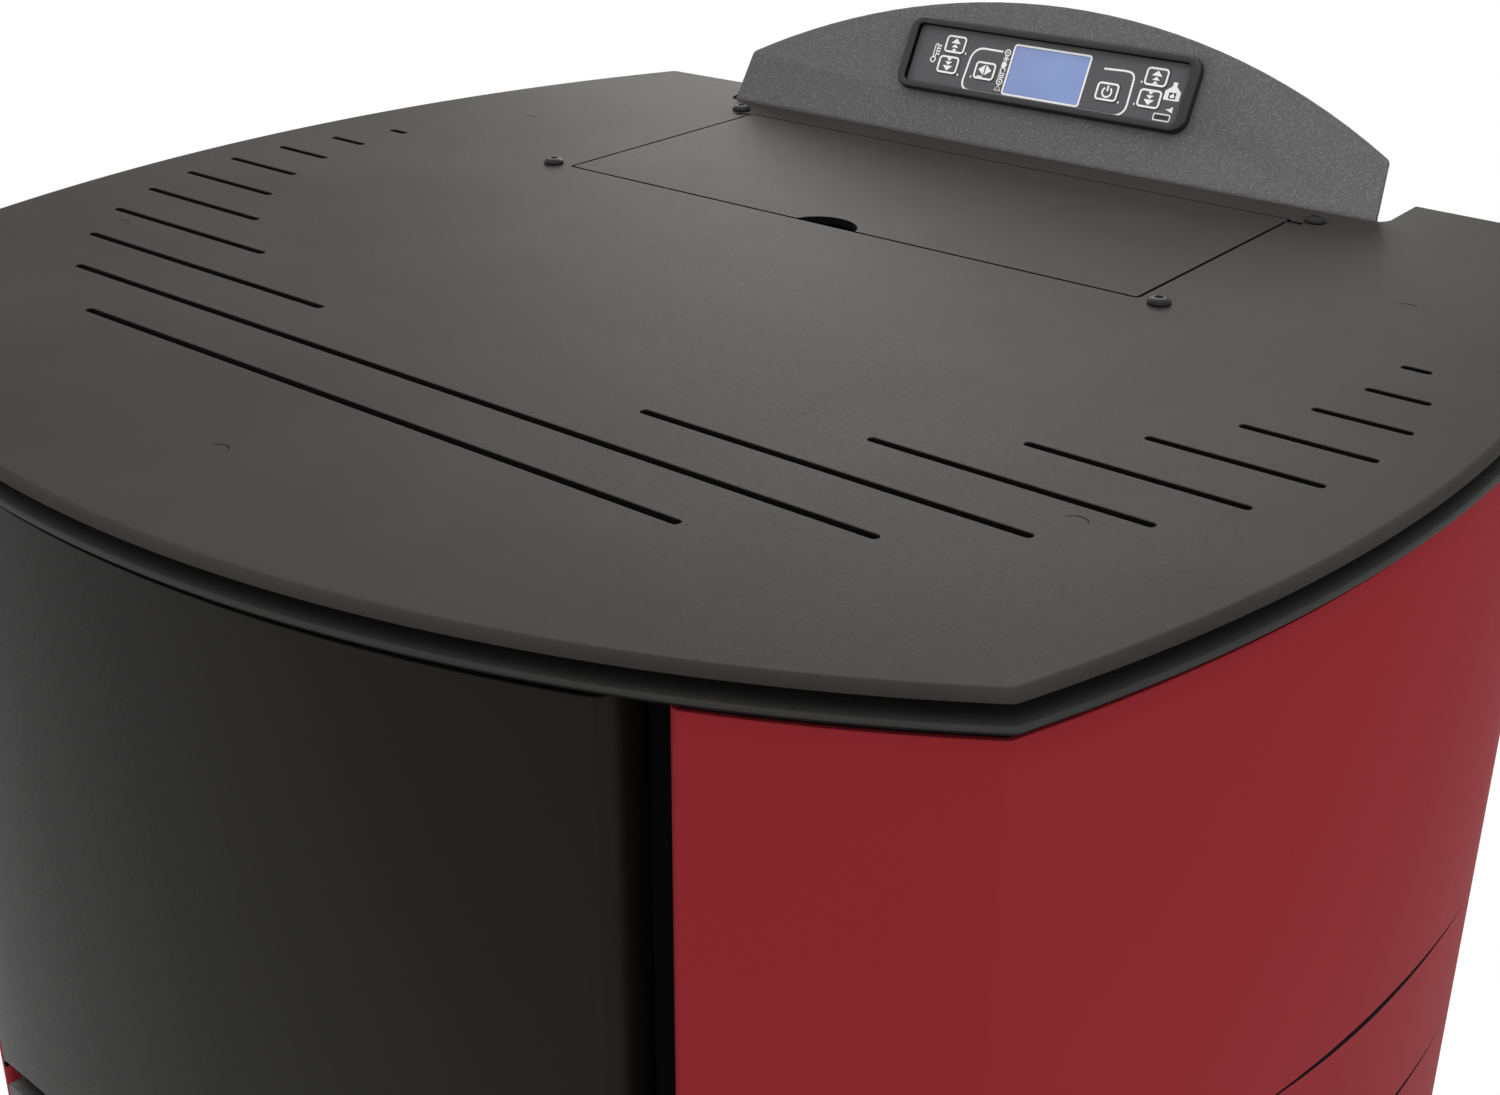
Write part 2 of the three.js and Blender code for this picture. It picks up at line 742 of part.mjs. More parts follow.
// The front panels' outer face in plan: two flanges and the curved face between them.
function frontPanelPath(halfWide) {
  const radius = frontRadius - faceInset;
  const end = frontAngle(halfWide, faceInset);
  const face = arc(0, frontCentreY, radius, -Math.PI - end, end);
  const flangeEnd = (p) => point(
    p.x * (1 - (frameDepth - gap) / radius),
    frontCentreY + (p.y - frontCentreY) * (1 - (frameDepth - gap) / radius),
  );
  const path = [flangeEnd(face[0]), ...face, flangeEnd(face[face.length - 1])];
  return rounded(path, bendRadius, false, 1);
}

function upperFrontPanel() {
  const bottom = archTopZ(frontPanelHalf, archRadius) - 1;
  const panel = prism(bentSheet(frontPanelPath(frontPanelHalf), sheet), bottom, panelTopZ);
  const arch = archedOutline(frontPanelHalf + 20, bottom - 60, archRadius, 0);
  const underArch = wall(arch, throughY0, throughY1);
  return cut(panel, underArch);
}

const drawerPanelTop = drawerFrontBottom - frontJoint;

function lowerFrontPanel() {
  return prism(bentSheet(frontPanelPath(frontPanelHalf), sheet), panelBottomZ, drawerPanelTop);
}

const doorOpeningHalf = fireboxHalfWidth - fireboxWall - 6;
const doorOpeningBottom = shelfZ + 8;
const doorOpeningTop = fireboxTopZ - fireboxWall;
const drawerOpeningTop = drawerFrontTop - 14;
const drawerOpeningBottom = drawerOpeningTop - drawerHeight - 8;

function frontFrame() {
  const plate = prism(frontSector(frameFace, frameBack, frameHalfWidth), panelBottomZ, panelTopZ);
  const doorHole = box(
    -doorOpeningHalf, doorOpeningHalf, throughY0, throughY1, doorOpeningBottom, doorOpeningTop,
  );
  const drawerHole = box(
    -drawerHalfWidth - 4, drawerHalfWidth + 4, throughY0, throughY1, drawerOpeningBottom, drawerOpeningTop,
  );
  const lugDepth = faceInset + sheet + 1;
  const railZ = doorBottomZ - gap - railHeight;
  const rail = prism(frontSector(lugDepth, frameFace + 1, hingeX + 8), railZ, railZ + railHeight);
  const lugZ = archTopZ(hingeX, archRadius) + 2;
  const lugSector = prism(frontSector(lugDepth, frameFace + 1, hingeX + 5), lugZ, lugZ + hingeLug);
  const lugRoom = box(-hingeX - 20, -hingeX + 14, throughY0, throughY1, lugZ - 1, lugZ + hingeLug + 1);
  const lug = common(lugSector, lugRoom);
  const lipDepth = latchDepth - gap - keeperThickness;
  const lip = atFront(box(8, 16, 0, keeperThickness, -9, 9), handleX, handleZ, lipDepth);
  const post = atFront(box(14.6, 16, 0, frameDepth - lipDepth + 1, -9, 9), handleX, handleZ, lipDepth);
  const frame = join(cut(plate, doorHole, drawerHole), rail, lug, lip, post);
  const pinHole = rod(
    at(-hingeX, hingeY, railZ - 20), at(-hingeX, hingeY, lugZ + 40), hingePinRadius + gap, 16,
  );
  return cut(frame, pinHole);
}

const hingeY = frontSurface(hingeX, faceInset + hingeDepth);

function rearPanel() {
  const corner = sideSurface(backY - faceInset, faceInset) - backFlange - 1;
  const outline = [
    point(-corner, panelBottomZ), point(corner, panelBottomZ), point(corner, panelTopZ),
    point(-corner, panelTopZ),
  ];
  const panel = wall(outline, backPanelY, backPanelY + sheet);
  const seeThrough = box(
    -cutoutHalfWidth, cutoutHalfWidth, backPanelY - 1, backY, topZ - consoleLeg - gap, panelTopZ + 1,
  );
  const hole = (x, z, radius) => rod(at(x, backPanelY - 1, z), at(x, backY + 1, z), radius, 32);
  const mainsHole = box(
    mainsX - 15, mainsX + 15, backPanelY - 1, backY + 1, mainsZ - 26, mainsZ + 26,
  );
  const vents = [];
  for (let i = 0; i < ventCount; i += 1) {
    const z = ventZ + i * ventPitch;
    vents.push(box(-ventOuter, -ventInner, backPanelY - 1, backY + 1, z, z + ventHeight));
    vents.push(box(ventInner, ventOuter, backPanelY - 1, backY + 1, z, z + ventHeight));
  }
  return cut(
    panel, seeThrough, mainsHole, ...vents,
    hole(flueX, flueZ, flueRadius + gap), hole(airInletX, airInletZ, airInletRadius + gap),
  );
}

addPiece(stove, 'base_plate', basePlate(), galvanised);
const footPlaces = [[-footX, footFrontY], [footX, footFrontY], [footX, footBackY], [-footX, footBackY]];
footPlaces.forEach(([x, y], i) => {
  addPiece(stove, `levelling_foot_${i + 1}`, levellingFoot(), moulded).position.set(x, y, 0);
});
const rightPanel = prism(bentSheet(sidePanelPath(), sheet), panelBottomZ, panelTopZ);
const leftPanel = prism(mirrored(bentSheet(sidePanelPath(), sheet)), panelBottomZ, panelTopZ);
addPiece(stove, 'side_panel_right', rightPanel, redEnamel);
addPiece(stove, 'side_panel_left', leftPanel, redEnamel);
addPiece(stove, 'upper_front_panel', upperFrontPanel(), steelBlack);
addPiece(stove, 'lower_front_panel', lowerFrontPanel(), steelBlack);
addPiece(stove, 'front_frame', frontFrame(), recessBlack);
addPiece(stove, 'rear_panel', rearPanel(), galvanised);

// ---- Fire door ----

const doorRadius = archRadius - archGap;
const windowHalf = doorHalfWidth - doorBorder;
const windowBottom = doorBottomZ + doorBorder;
const windowRadius = doorRadius - doorBorder;
const doorBack = faceInset + doorDepth;

function frontPiece(depthOut, depthIn, outline, holes = [], halfWide = doorHalfWidth, corner = 0) {
  const zs = outline.map((p) => p.y);
  const block = prism(frontSector(depthOut, depthIn, halfWide, corner), Math.min(...zs), Math.max(...zs));
  return common(block, wall(outline, throughY0, throughY1, holes));
}

// A place on the front, as a point at x and z and a depth behind the panels' faces, and the way out of it.
function frontPlace(x, z, depth) {
  const angle = Math.asin(x / (frontRadius - faceInset));
  const radius = frontRadius - faceInset - depth;
  return at(radius * Math.sin(angle), frontCentreY - radius * Math.cos(angle), z);
}

function doorFrame() {
  const outline = archedOutline(doorHalfWidth + 5, doorBottomZ, doorRadius, 0);
  const pane = archedOutline(windowHalf, windowBottom, windowRadius, 12);
  const rebate = archedOutline(
    windowHalf + glassRebate, windowBottom - glassRebate, windowRadius + glassRebate, 12,
  );
  const frame = frontPiece(faceInset, doorBack, outline, [pane], doorHalfWidth, doorCorner);
  const rebateDepth = doorBack - glassThickness - gap;
  const rebateBlock = frontPiece(rebateDepth, doorBack + 2, rebate);
  const pinHole = (z0, z1) => rod(at(-hingeX, hingeY, z0), at(-hingeX, hingeY, z1), hingePinRadius + gap, 16);
  const low = pinHole(doorBottomZ - 1, doorBottomZ + 26);
  const high = pinHole(archTopZ(hingeX, doorRadius) - 26, archTopZ(hingeX, doorRadius) + 30);
  const spindle = rod(
    frontPlace(handleX, handleZ, -5), frontPlace(handleX, handleZ, doorDepth + 5), spindleRadius + gap, 16,
  );
  return cut(frame, rebateBlock, low, high, spindle);
}

function doorGlass() {
  const inset = glassRebate - gap;
  const outline = archedOutline(windowHalf + inset, windowBottom - inset, windowRadius + inset, 12);
  return frontPiece(doorBack - glassThickness, doorBack, outline);
}

function doorGasket() {
  const half = doorOpeningHalf + 2;
  const bottom = doorOpeningBottom - 3;
  const top = doorOpeningTop + 3;
  const frameLine = (out) => [
    point(-half - out, bottom - out), point(half + out, bottom - out),
    point(half + out, top + out), point(-half - out, top + out),
  ];
  const outer = rounded(frameLine(gasketWidth / 2), 16, true);
  const inner = rounded(frameLine(-gasketWidth / 2), 10, true);
  return frontPiece(doorBack + gap, frameFace - gap, outer, [inner]);
}

// Lever handle: a grip that hangs from a spindle through the door. As the grip is turned up to the
// left, the tongue on the spindle's inner end goes in behind the keeper on the front frame.
function doorHandle() {
  const outer = frontPlace(handleX, handleZ, -handleStandOff);
  const spindle = rod(outer, frontPlace(handleX, handleZ, latchDepth + latchThickness), spindleRadius, 16);
  const rose = rod(frontPlace(handleX, handleZ, -gap), frontPlace(handleX, handleZ, -5), 13, 24);
  const r = handleRadius;
  const grip = turned([
    [0, -handleLength], [r * 0.6, -handleLength], [r * 0.95, -handleLength + 4], [r, -handleLength + 12],
    [r * 0.86, -handleLength / 2], [r, -12], [r, 12], [r * 0.8, 15], [0, 15],
  ], 16).translate(outer.x, outer.y, outer.z);
  const tongue = box(-latchHalf, latchHalf, 0, latchThickness, 0, latchReach);
  return join(spindle, rose, grip, atFront(tongue, handleX, handleZ, latchDepth));
}

// Moves a shape drawn about the origin, with +Y going into the stove, to a place on the front.
function atFront(geometry, x, z, depth) {
  const place = frontPlace(x, z, depth);
  return geometry.rotateZ(Math.asin(x / (frontRadius - faceInset))).translate(place.x, place.y, place.z);
}

function hingePin(z0, z1) {
  const foot = at(-hingeX, hingeY, z0);
  return rod(foot, at(-hingeX, hingeY, z1), hingePinRadius, 16);
}

const lowerPinBottom = doorBottomZ - gap - railHeight;
const upperLugTop = archTopZ(hingeX, archRadius) + 2 + hingeLug;
addPiece(stove, 'door_frame', doorFrame(), steelBlack);
addPiece(stove, 'door_glass', doorGlass(), ceramicGlass);
addPiece(stove, 'door_gasket', doorGasket(), ropeSeal);
addPiece(stove, 'door_handle', doorHandle(), satinSteel);
addPiece(stove, 'door_hinge_pin_bottom', hingePin(lowerPinBottom, doorBottomZ + 25), fasteners);
addPiece(stove, 'door_hinge_pin_top', hingePin(archTopZ(hingeX, doorRadius) - 25, upperLugTop), fasteners);

// ---- Ash drawer and its bay ----

const drawerBottomZ = drawerOpeningBottom + 3;
const drawerTopZ = drawerBottomZ + drawerHeight;

function ashDrawer() {
  const face = prism(
    frontSector(faceInset, faceInset + 4, doorHalfWidth, 1.5), drawerFrontBottom, drawerFrontTop,
  );
  const grip = box(
    -fingerGripHalf, fingerGripHalf, throughY0, throughY1,
    drawerFrontTop - fingerGripDepth, drawerFrontTop + 1,
  );
  const boxFront = frontSurface(0, faceInset + 6);
  const tray = box(-drawerHalfWidth, drawerHalfWidth, boxFront, drawerBackY, drawerBottomZ, drawerTopZ);
  const room = box(
    -drawerHalfWidth + sheet, drawerHalfWidth - sheet, boxFront - 1, drawerBackY - sheet,
    drawerBottomZ + sheet, drawerTopZ + 1,
  );
  const behindFace = prism(frontSector(faceInset + 3, frontRadius / 2, doorHalfWidth), 0, topZ);
  return join(cut(face, grip), common(cut(tray, room), behindFace));
}

function ashBay() {
  const outer = drawerHalfWidth + runningGap + sheet + 1;
  const inner = outer - sheet;
  const top = fireboxBottomZ - gap;
  const floorTop = drawerBottomZ - gap;
  const outline = [
    point(-outer, panelBottomZ), point(-inner, panelBottomZ), point(-inner, floorTop - sheet),
    point(inner, floorTop - sheet), point(inner, panelBottomZ), point(outer, panelBottomZ),
    point(outer, top), point(inner, top), point(inner, floorTop),
    point(-inner, floorTop), point(-inner, top), point(-outer, top),
  ];
  const y0 = frontSurface(outer, frameBack + gap);
  return wall(outline, y0, drawerBackY + 8);
}

const fireboxBottomZ = drawerOpeningTop + 12;
addPiece(stove, 'ash_drawer', ashDrawer(), steelBlack);
addPiece(stove, 'ash_bay', ashBay(), galvanised);

// ---- Firebox, burn pot, igniter ----

const chuteRoom = chuteHalf + augerWall + gap;
const ductRoom = 20;
const ductX = 38;
const ductHalf = 26;
const portZ = shelfZ + shelfThickness + portRise;

function firebox() {
  const w = fireboxWall;
  const half = fireboxHalfWidth;
  const z0 = fireboxBottomZ;
  const shell = box(-half, half, frontY - 20, fireboxBackY, z0, fireboxTopZ);
  const room = box(-half + w, half - w, frontY - 30, fireboxBackY - w, z0 + w, fireboxTopZ - w);
  const sector = frontSector(frameBack + gap, frontRadius / 1.7, frameHalfWidth);
  const behindFrame = prism(sector, z0 - 1, fireboxTopZ + 1);
  const ashHole = box(-half + 40, half - 40, potY - 62, potY + 62, z0 - 1, z0 + w + 1);
  const chuteHole = box(
    -chuteRoom, chuteRoom, fireboxBackY - 20, fireboxBackY + 20, chuteOutZ - 45, chuteOutZ + 45,
  );
  const backHole = (x, z, radius, sides) => {
    return rod(at(x, fireboxBackY - 20, z), at(x, fireboxBackY + 20, z), radius + gap, sides);
  };
  const port = box(
    ductX - ductHalf + 4, ductX + ductHalf - 4, fireboxBackY - 20, fireboxBackY + 20,
    portZ - ductRoom, portZ + ductRoom,
  );
  return cut(
    join(common(cut(shell, room), behindFrame), potShelf()), ashHole, chuteHole, port,
    backHole(0, igniterZ, igniterRadius, 16), backHole(airInletX, airInletZ, airInletRadius, 24),
  );
}

const igniterZ = shelfZ + shelfThickness + 16;
const igniterRadius = 5;

function firebackPlate() {
  const half = fireboxHalfWidth - fireboxWall - gap;
  const y1 = fireboxBackY - fireboxWall - gap;
  const z0 = shelfZ + shelfThickness + 70;
  const z1 = fireboxTopZ - fireboxWall - 8;
  const plate = box(-half, half, y1 - linerThickness, y1, z0, z1);
  const ribs = [-110, -85, -60, 60, 85, 110].map((x) => {
    return box(x - 4, x + 4, y1 - linerThickness - 4, y1 - linerThickness + 1, z0 + 12, z1 - 12);
  });
  const chuteHole = box(-chuteRoom - 4, chuteRoom + 4, y1 - 20, y1 + 5, chuteOutZ - 52, chuteOutZ + 48);
  return cut(join(plate, ...ribs), chuteHole);
}

// The shelf that the burn pot stands in is welded into the firebox.
function potShelf() {
  const half = fireboxHalfWidth - 1;
  const y0 = frontSurface(half, frameBack) + 8;
  const plate = box(-half, half, y0, fireboxBackY - 1, shelfZ, shelfZ + shelfThickness);
  const shelfTop = shelfZ + shelfThickness;
  const ashWay = rod(at(0, potY, shelfZ - 1), at(0, potY, shelfTop + 1), potFootRadius - 6, 32);
  return cut(plate, ashWay);
}

function burnPot() {
  const profile = [
    [0, 0], [potFootRadius, 0], [potRadius, potHeight - 5], [potRadius + 4, potHeight - 5],
    [potRadius + 4, potHeight], [potRadius - potWall, potHeight],
    [potFootRadius - potWall, potWall], [0, potWall],
  ];
  const cup = turned(profile, 24);
  const holes = Array.from({ length: 6 }, (_, i) => {
    const angle = i * Math.PI / 3;
    const out = potRadius + 10;
    return rod(at(0, 0, 18), at(out * Math.cos(angle), out * Math.sin(angle), 18), 3, 6);
  });
  const floorHoles = Array.from({ length: 6 }, (_, i) => {
    const angle = i * Math.PI / 3;
    const x = 22 * Math.cos(angle);
    const y = 22 * Math.sin(angle);
    return rod(at(x, y, -1), at(x, y, potWall + 1), 3, 6);
  });
  const mouthZ = igniterZ - potZ;
  const igniterMouth = rod(at(0, 20, mouthZ), at(0, potRadius + 20, mouthZ), igniterRadius + 1, 12);
  return cut(cup, ...holes, ...floorHoles, igniterMouth);
}

const potZ = shelfZ + shelfThickness + gap;

addPiece(stove, 'firebox', firebox(), castIron);
addPiece(stove, 'fireback_plate', firebackPlate(), castIron);
addPiece(stove, 'burn_pot', burnPot(), castIron).position.set(0, potY, potZ);
const igniterTip = potY + potRadius + 4;
const igniterBody = join(
  rod(at(0, igniterTip, igniterZ), at(0, fireboxBackY + 34, igniterZ), igniterRadius, 16),
  rod(at(0, fireboxBackY + gap, igniterZ), at(0, fireboxBackY + 8, igniterZ), igniterRadius + 6, 6),
);
addPiece(stove, 'igniter', igniterBody, satinSteel);

// ---- Hopper, auger and gearmotor ----

// A funnel piece between two level rectangles, each given as [x half, y0, y1, z].
function frustum([xa, ya0, ya1, za], [xb, yb0, yb1, zb]) {
  const corners = [
    [-xa, ya0, za], [xa, ya0, za], [xa, ya1, za], [-xa, ya1, za],
    [-xb, yb0, zb], [xb, yb0, zb], [xb, yb1, zb], [-xb, yb1, zb],
  ];
  const quads = [[0, 3, 2, 1], [4, 5, 6, 7], [0, 1, 5, 4], [1, 2, 6, 5], [2, 3, 7, 6], [3, 0, 4, 7]];
  const positions = quads.flatMap(([a, b, c, d]) => [a, b, c, a, c, d].flatMap((i) => corners[i]));
  const geometry = new THREE.BufferGeometry();
  geometry.setAttribute('position', new THREE.BufferAttribute(new Float32Array(positions), 3));
  return geometry;
}

const hopperHalf = lidHalfWidth - hopperSideLedge;
const hopperFrontY = lidFrontY - lidGap - hopperWall;
const flangeTopZ = plateBottomZ - gap;

function hopper() {
  const w = hopperWall;
  const flange = box(
    -screwX - 8, screwX + 8, screwFrontY - 9, screwBackY + 9, flangeTopZ - 3, flangeTopZ,
  );
  const body = (grow, top, bottom) => join(
    frustum(
      [throatHalf + grow, throatBackY - 2 * throatHalf - grow, throatBackY + grow, bottom],
      [hopperHalf + grow, hopperFrontY + w - grow, hopperBackY - w + grow, hopperStraightZ],
    ),
    box(
      -hopperHalf - grow, hopperHalf + grow, hopperFrontY + w - grow, hopperBackY - w + grow,
      hopperStraightZ - 0.5, top,
    ),
  );
  const outer = join(body(w, flangeTopZ - 1, hopperThroatZ), flange);
  const room = body(0, flangeTopZ + 5, hopperThroatZ - 0.01);
  const throatRoom = box(
    -throatHalf, throatHalf, throatBackY - 2 * throatHalf, throatBackY,
    hopperThroatZ - 5, hopperThroatZ + 0.5,
  );
  const screwHoles = screwPlaces.map(([x, y]) => {
    return rod(at(x, y, flangeTopZ - 10), at(x, y, flangeTopZ + 5), screwShankRadius + gap, 16);
  });
  const reliefs = [-1, 1].map((side) => {
    const middle = side * (hopperHalf + lidHalfWidth + gap) / 2;
    const half = (lidHalfWidth + 2 * gap - hopperHalf + 4) / 2;
    return box(middle - half, middle + half, pivotY - 4.6, pivotY + 8, flangeTopZ - 10, flangeTopZ + 5);
  });
  return cut(outer, room, throatRoom, ...screwHoles, ...reliefs);
}

// The safety grille hooks on the hopper's front and back walls, well below the lid.
function hopperGrille() {
  const half = hopperHalf - gap;
  const y0 = hopperFrontY + hopperWall + gap;
  const y1 = hopperBackY - hopperWall - gap;
  const z = topZ - 70;
  const bays = 9;
  const bay = 2 * half / bays;
  const windows = Array.from({ length: bays }, (_, i) => {
    return box(-half + i * bay + 2, -half + (i + 1) * bay - 2, y0 + 4, y1 - 4, z - 1, z + 5);
  });
  return cut(box(-half, half, y0, y1, z, z + 4), ...windows);
}

const augerWay = at(0, -Math.SQRT1_2, Math.SQRT1_2);
const augerLow = at(0, augerLowY, augerLowZ);
const onAuger = (distance) => augerLow.clone().addScaledVector(augerWay, distance);

function augerTube() {
  const w = augerWall;
  const outerRadius = augerTubeRadius;
  const tube = rod(onAuger(0), onAuger(augerLength), outerRadius, 24);
  const bore = rod(onAuger(w), onAuger(augerLength - w), outerRadius - w, 24);
  const inletHalf = throatHalf + 0.01;
  const inletMidY = throatBackY - throatHalf;
  const inletTop = hopperThroatZ - gap;
  const inletBottom = augerLowZ + augerLowY - inletMidY;
  const cornerHalf = outerRadius * 0.9;
  const inlet = frustum(
    [cornerHalf, inletMidY - throatHalf + 4, inletMidY + throatHalf - 4, inletBottom],
    [inletHalf, inletMidY - throatHalf, inletMidY + throatHalf, inletTop],
  );
  const inletRoom = frustum(
    [cornerHalf - w - 4, inletMidY - throatHalf + 8, inletMidY + throatHalf - 8, inletBottom],
    [inletHalf - w, inletMidY - throatHalf + w, inletMidY + throatHalf - w, inletTop + 0.01],
  );
  const chuteTop = onAuger(augerLength - 40);
  const chuteEnd = fireboxBackY - fireboxWall + gap;
  const drop = chuteTop.y - chuteEnd;
  const chuteOutline = (half, extra) => [
    point(chuteEnd - extra, chuteOutZ - half), point(chuteTop.y, chuteOutZ - half + drop * chuteSlope),
    point(chuteTop.y, chuteOutZ + half + drop * chuteSlope), point(chuteEnd - extra, chuteOutZ + half),
  ];
  const chute = beam(chuteOutline(chuteHalf + w, 0), -chuteHalf - w, chuteHalf + w);
  const chuteInside = beam(chuteOutline(chuteHalf, 5), -chuteHalf, chuteHalf);
  const aboveAxis = box(-60, 60, -80, 110, 0, 80);
  aboveAxis.applyQuaternion(new THREE.Quaternion().setFromUnitVectors(at(0, -1, 0), augerWay));
  aboveAxis.translate(chuteTop.x, chuteTop.y, chuteTop.z);
  const shell = join(tube, cut(inlet, bore), cut(chute, aboveAxis));
  const shaftHole = rod(onAuger(augerLength - 10), onAuger(augerLength + 10), augerShaftRadius + gap, 20);
  return cut(shell, bore, inletRoom, cut(chuteInside, aboveAxis), shaftHole);
}

const chuteSlope = 0.75;

// A prism whose outline turns steadily as it rises.
function twistedPrism(outline, length, turn, steps) {
  const rings = Array.from({ length: steps + 1 }, (_, i) => outline.map((p) => {
    const moved = p.clone().rotateAround(point(0, 0), turn * i / steps);
    return [moved.x, moved.y, length * i / steps];
  }));
  const positions = [];
  const triangle = (a, b, c) => positions.push(...a, ...b, ...c);
  for (let i = 0; i < steps; i += 1) {
    outline.forEach((_, k) => {
      const after = (k + 1) % outline.length;
      triangle(rings[i][k], rings[i][after], rings[i + 1][after]);
      triangle(rings[i][k], rings[i + 1][after], rings[i + 1][k]);
    });
  }
  for (const [a, b, c] of THREE.ShapeUtils.triangulateShape(outline, [])) {
    triangle(rings[0][c], rings[0][b], rings[0][a]);
    triangle(rings[steps][a], rings[steps][b], rings[steps][c]);
  }
  const geometry = new THREE.BufferGeometry();
  geometry.setAttribute('position', new THREE.BufferAttribute(new Float32Array(positions), 3));
  return geometry;
}

// The screw's section is its shaft with one arm, which draws the flight as it turns.
function augerScrew() {
  const length = augerLength - 2 * augerWall - 2;
  const start = augerWall + 1;
  const armAngle = 2 * Math.PI * flightThickness / augerPitch;
  const section = [
    ...arc(0, 0, augerScrewRadius, 0, armAngle, armAngle),
    ...arc(0, 0, augerShaftRadius, armAngle, 2 * Math.PI, Math.PI / 4),
  ];
  const turns = length / augerPitch;
  const screw = twistedPrism(section, length, 2 * Math.PI * turns, Math.round(12 * turns));
  const tail = rod(at(0, 0, length - 1), at(0, 0, augerLength + 12 - start), augerShaftRadius - 1.5, 12);
  const geometry = join(screw, tail).translate(0, 0, start);
  const turn = new THREE.Quaternion().setFromUnitVectors(at(0, 0, 1), augerWay);
  return geometry.applyQuaternion(turn).translate(augerLow.x, augerLow.y, augerLow.z);
}

// The gearbox hangs on the end of the tube, and the motor on the gearbox.
function augerGearmotor() {
  const start = augerLength + gap;
  const motorStart = start + gearboxLength;
  const motorEnd = motorStart + gearmotorLength;
  const gearbox = box(-36, 36, -32, 32, start, motorStart);
  const motor = rod(at(0, 0, motorStart - 1), at(0, 0, motorEnd), 27, 28);
  const cap = rod(at(0, 0, motorEnd - 1), at(0, 0, motorEnd + gearmotorCap), 12, 20);
  const socket = rod(at(0, 0, start - 5), at(0, 0, start + gearboxSocket), augerShaftRadius + gap, 20);
  const geometry = cut(join(gearbox, motor, cap), socket);
  const turn = new THREE.Quaternion().setFromUnitVectors(at(0, 0, 1), augerWay);
  return geometry.applyQuaternion(turn).translate(augerLow.x, augerLow.y, augerLow.z);
}

addPiece(stove, 'hopper', hopper(), galvanised);
addPiece(stove, 'hopper_grille', hopperGrille(), steelBlack);
addPiece(stove, 'auger_tube', augerTube(), galvanised);
addPiece(stove, 'auger_screw', augerScrew(), satinSteel);
addPiece(stove, 'auger_gearmotor', augerGearmotor(), satinSteel);

// ---- Exhaust fan, flue and air inlet ----

const voluteX0 = flueX - voluteWidth / 2;
const voluteX1 = flueX + voluteWidth / 2;

function exhaustDuct() {
  const w = voluteWall;
  const x0 = ductX - ductHalf;
  const x1 = ductX + ductHalf;
  const y0 = fireboxBackY + gap;
  const y1 = volutesY + 40;
  const low = volutesZ - 40;
  const high = portZ + ductRoom + w;
  const legY = volutesY - 40;
  const outer = join(
    box(x0, x1, y0, y1, portZ - ductRoom - w, high),
    box(x0, x1, legY, y1, low, high),
  );
  const room = join(
    box(x0 + w, x1 - w, y0 - 1, y1 - w, portZ - ductRoom, high - w),
    box(x0 + w, x1 - w, legY + w, y1 - w, low + w, high - w),
  );
  const eye = rod(at(x1 - 10, volutesY, volutesZ), at(x1 + 10, volutesY, volutesZ), 28, 28);
  return cut(outer, room, eye);
}

function exhaustHousing() {
  const w = voluteWall;
  const spigotRadius = flueRadius - flueWall - gap;
  const spigotEnd = volutesY + 110;
  const spigot = (radius, from, to) => rod(at(flueX, from, flueZ), at(flueX, to, flueZ), radius, 28);
  const across = (x0, x1, radius, sides = 28) => {
    return rod(at(x0, volutesY, volutesZ), at(x1, volutesY, volutesZ), radius, sides);
  };
  const collar = across(ductX + ductHalf + gap, voluteX0 + 1, 34);
  const neck = box(voluteX0, voluteX1, volutesY, volutesY + 82, flueZ - 27, flueZ + 27);
  const neckRoom = box(voluteX0 + w, voluteX1 - w, volutesY, volutesY + 90, flueZ - 25, flueZ + 25);
  const drum = across(voluteX0, voluteX1, volutesRadius);
  const drumRoom = across(voluteX0 + w, voluteX1 - w, volutesRadius - w);
  const flange = spigot(spigotRadius, volutesY + 80, volutesY + 84);
  const shell = join(drum, collar, neck, flange, spigot(spigotRadius, volutesY + 81, spigotEnd));
  const eye = across(voluteX0 - 10, voluteX0 + 5, 28);
  const shaftHole = across(voluteX1 - 5, voluteX1 + 10, 5 + gap, 16);
  const spigotRoom = spigot(spigotRadius - w, volutesY + 84, spigotEnd + 1);
  return cut(shell, drumRoom, neckRoom, eye, shaftHole, spigotRoom);
}

function exhaustImpeller() {
  const x0 = voluteX0 + voluteWall + 3;
  const x1 = voluteX1 - voluteWall - 3;
  const disc = rod(at(x1 - 2, 0, 0), at(x1, 0, 0), impellerRadius, 24);
  const hub = rod(at(x0 + 8, 0, 0), at(x1, 0, 0), 12, 20);
  const shaft = rod(at(x1 - 1, 0, 0), at(voluteX1 + 16, 0, 0), 5, 16);
  const blades = Array.from({ length: 8 }, (_, i) => {
    return box(x0, x1 - 1, -1.2, 1.2, 10, impellerRadius - 1).rotateX(i * Math.PI / 4);
  });
  return join(disc, hub, shaft, ...blades);
}

function exhaustMotor() {
  const x0 = voluteX1 + gap;
  const body = rod(at(x0, volutesY, volutesZ), at(x0 + 58, volutesY, volutesZ), 38, 32);
  const cap = rod(at(x0 + 57, volutesY, volutesZ), at(x0 + 64, volutesY, volutesZ), 20, 24);
  const socket = rod(at(x0 - 1, volutesY, volutesZ), at(x0 + 20, volutesY, volutesZ), 5 + gap, 16);
  return cut(join(body, cap), socket);
}

function flueOutlet() {
  const y0 = volutesY + 88;
  const bead = rod(at(flueX, backY + 4, flueZ), at(flueX, backY + 9, flueZ), flueRadius + 2.5, 28);
  const pipe = rod(at(flueX, y0, flueZ), at(flueX, pipeEndY, flueZ), flueRadius, 28);
  const bore = rod(at(flueX, y0 - 1, flueZ), at(flueX, pipeEndY + 1, flueZ), flueRadius - flueWall, 28);
  return cut(join(pipe, bead), bore);
}

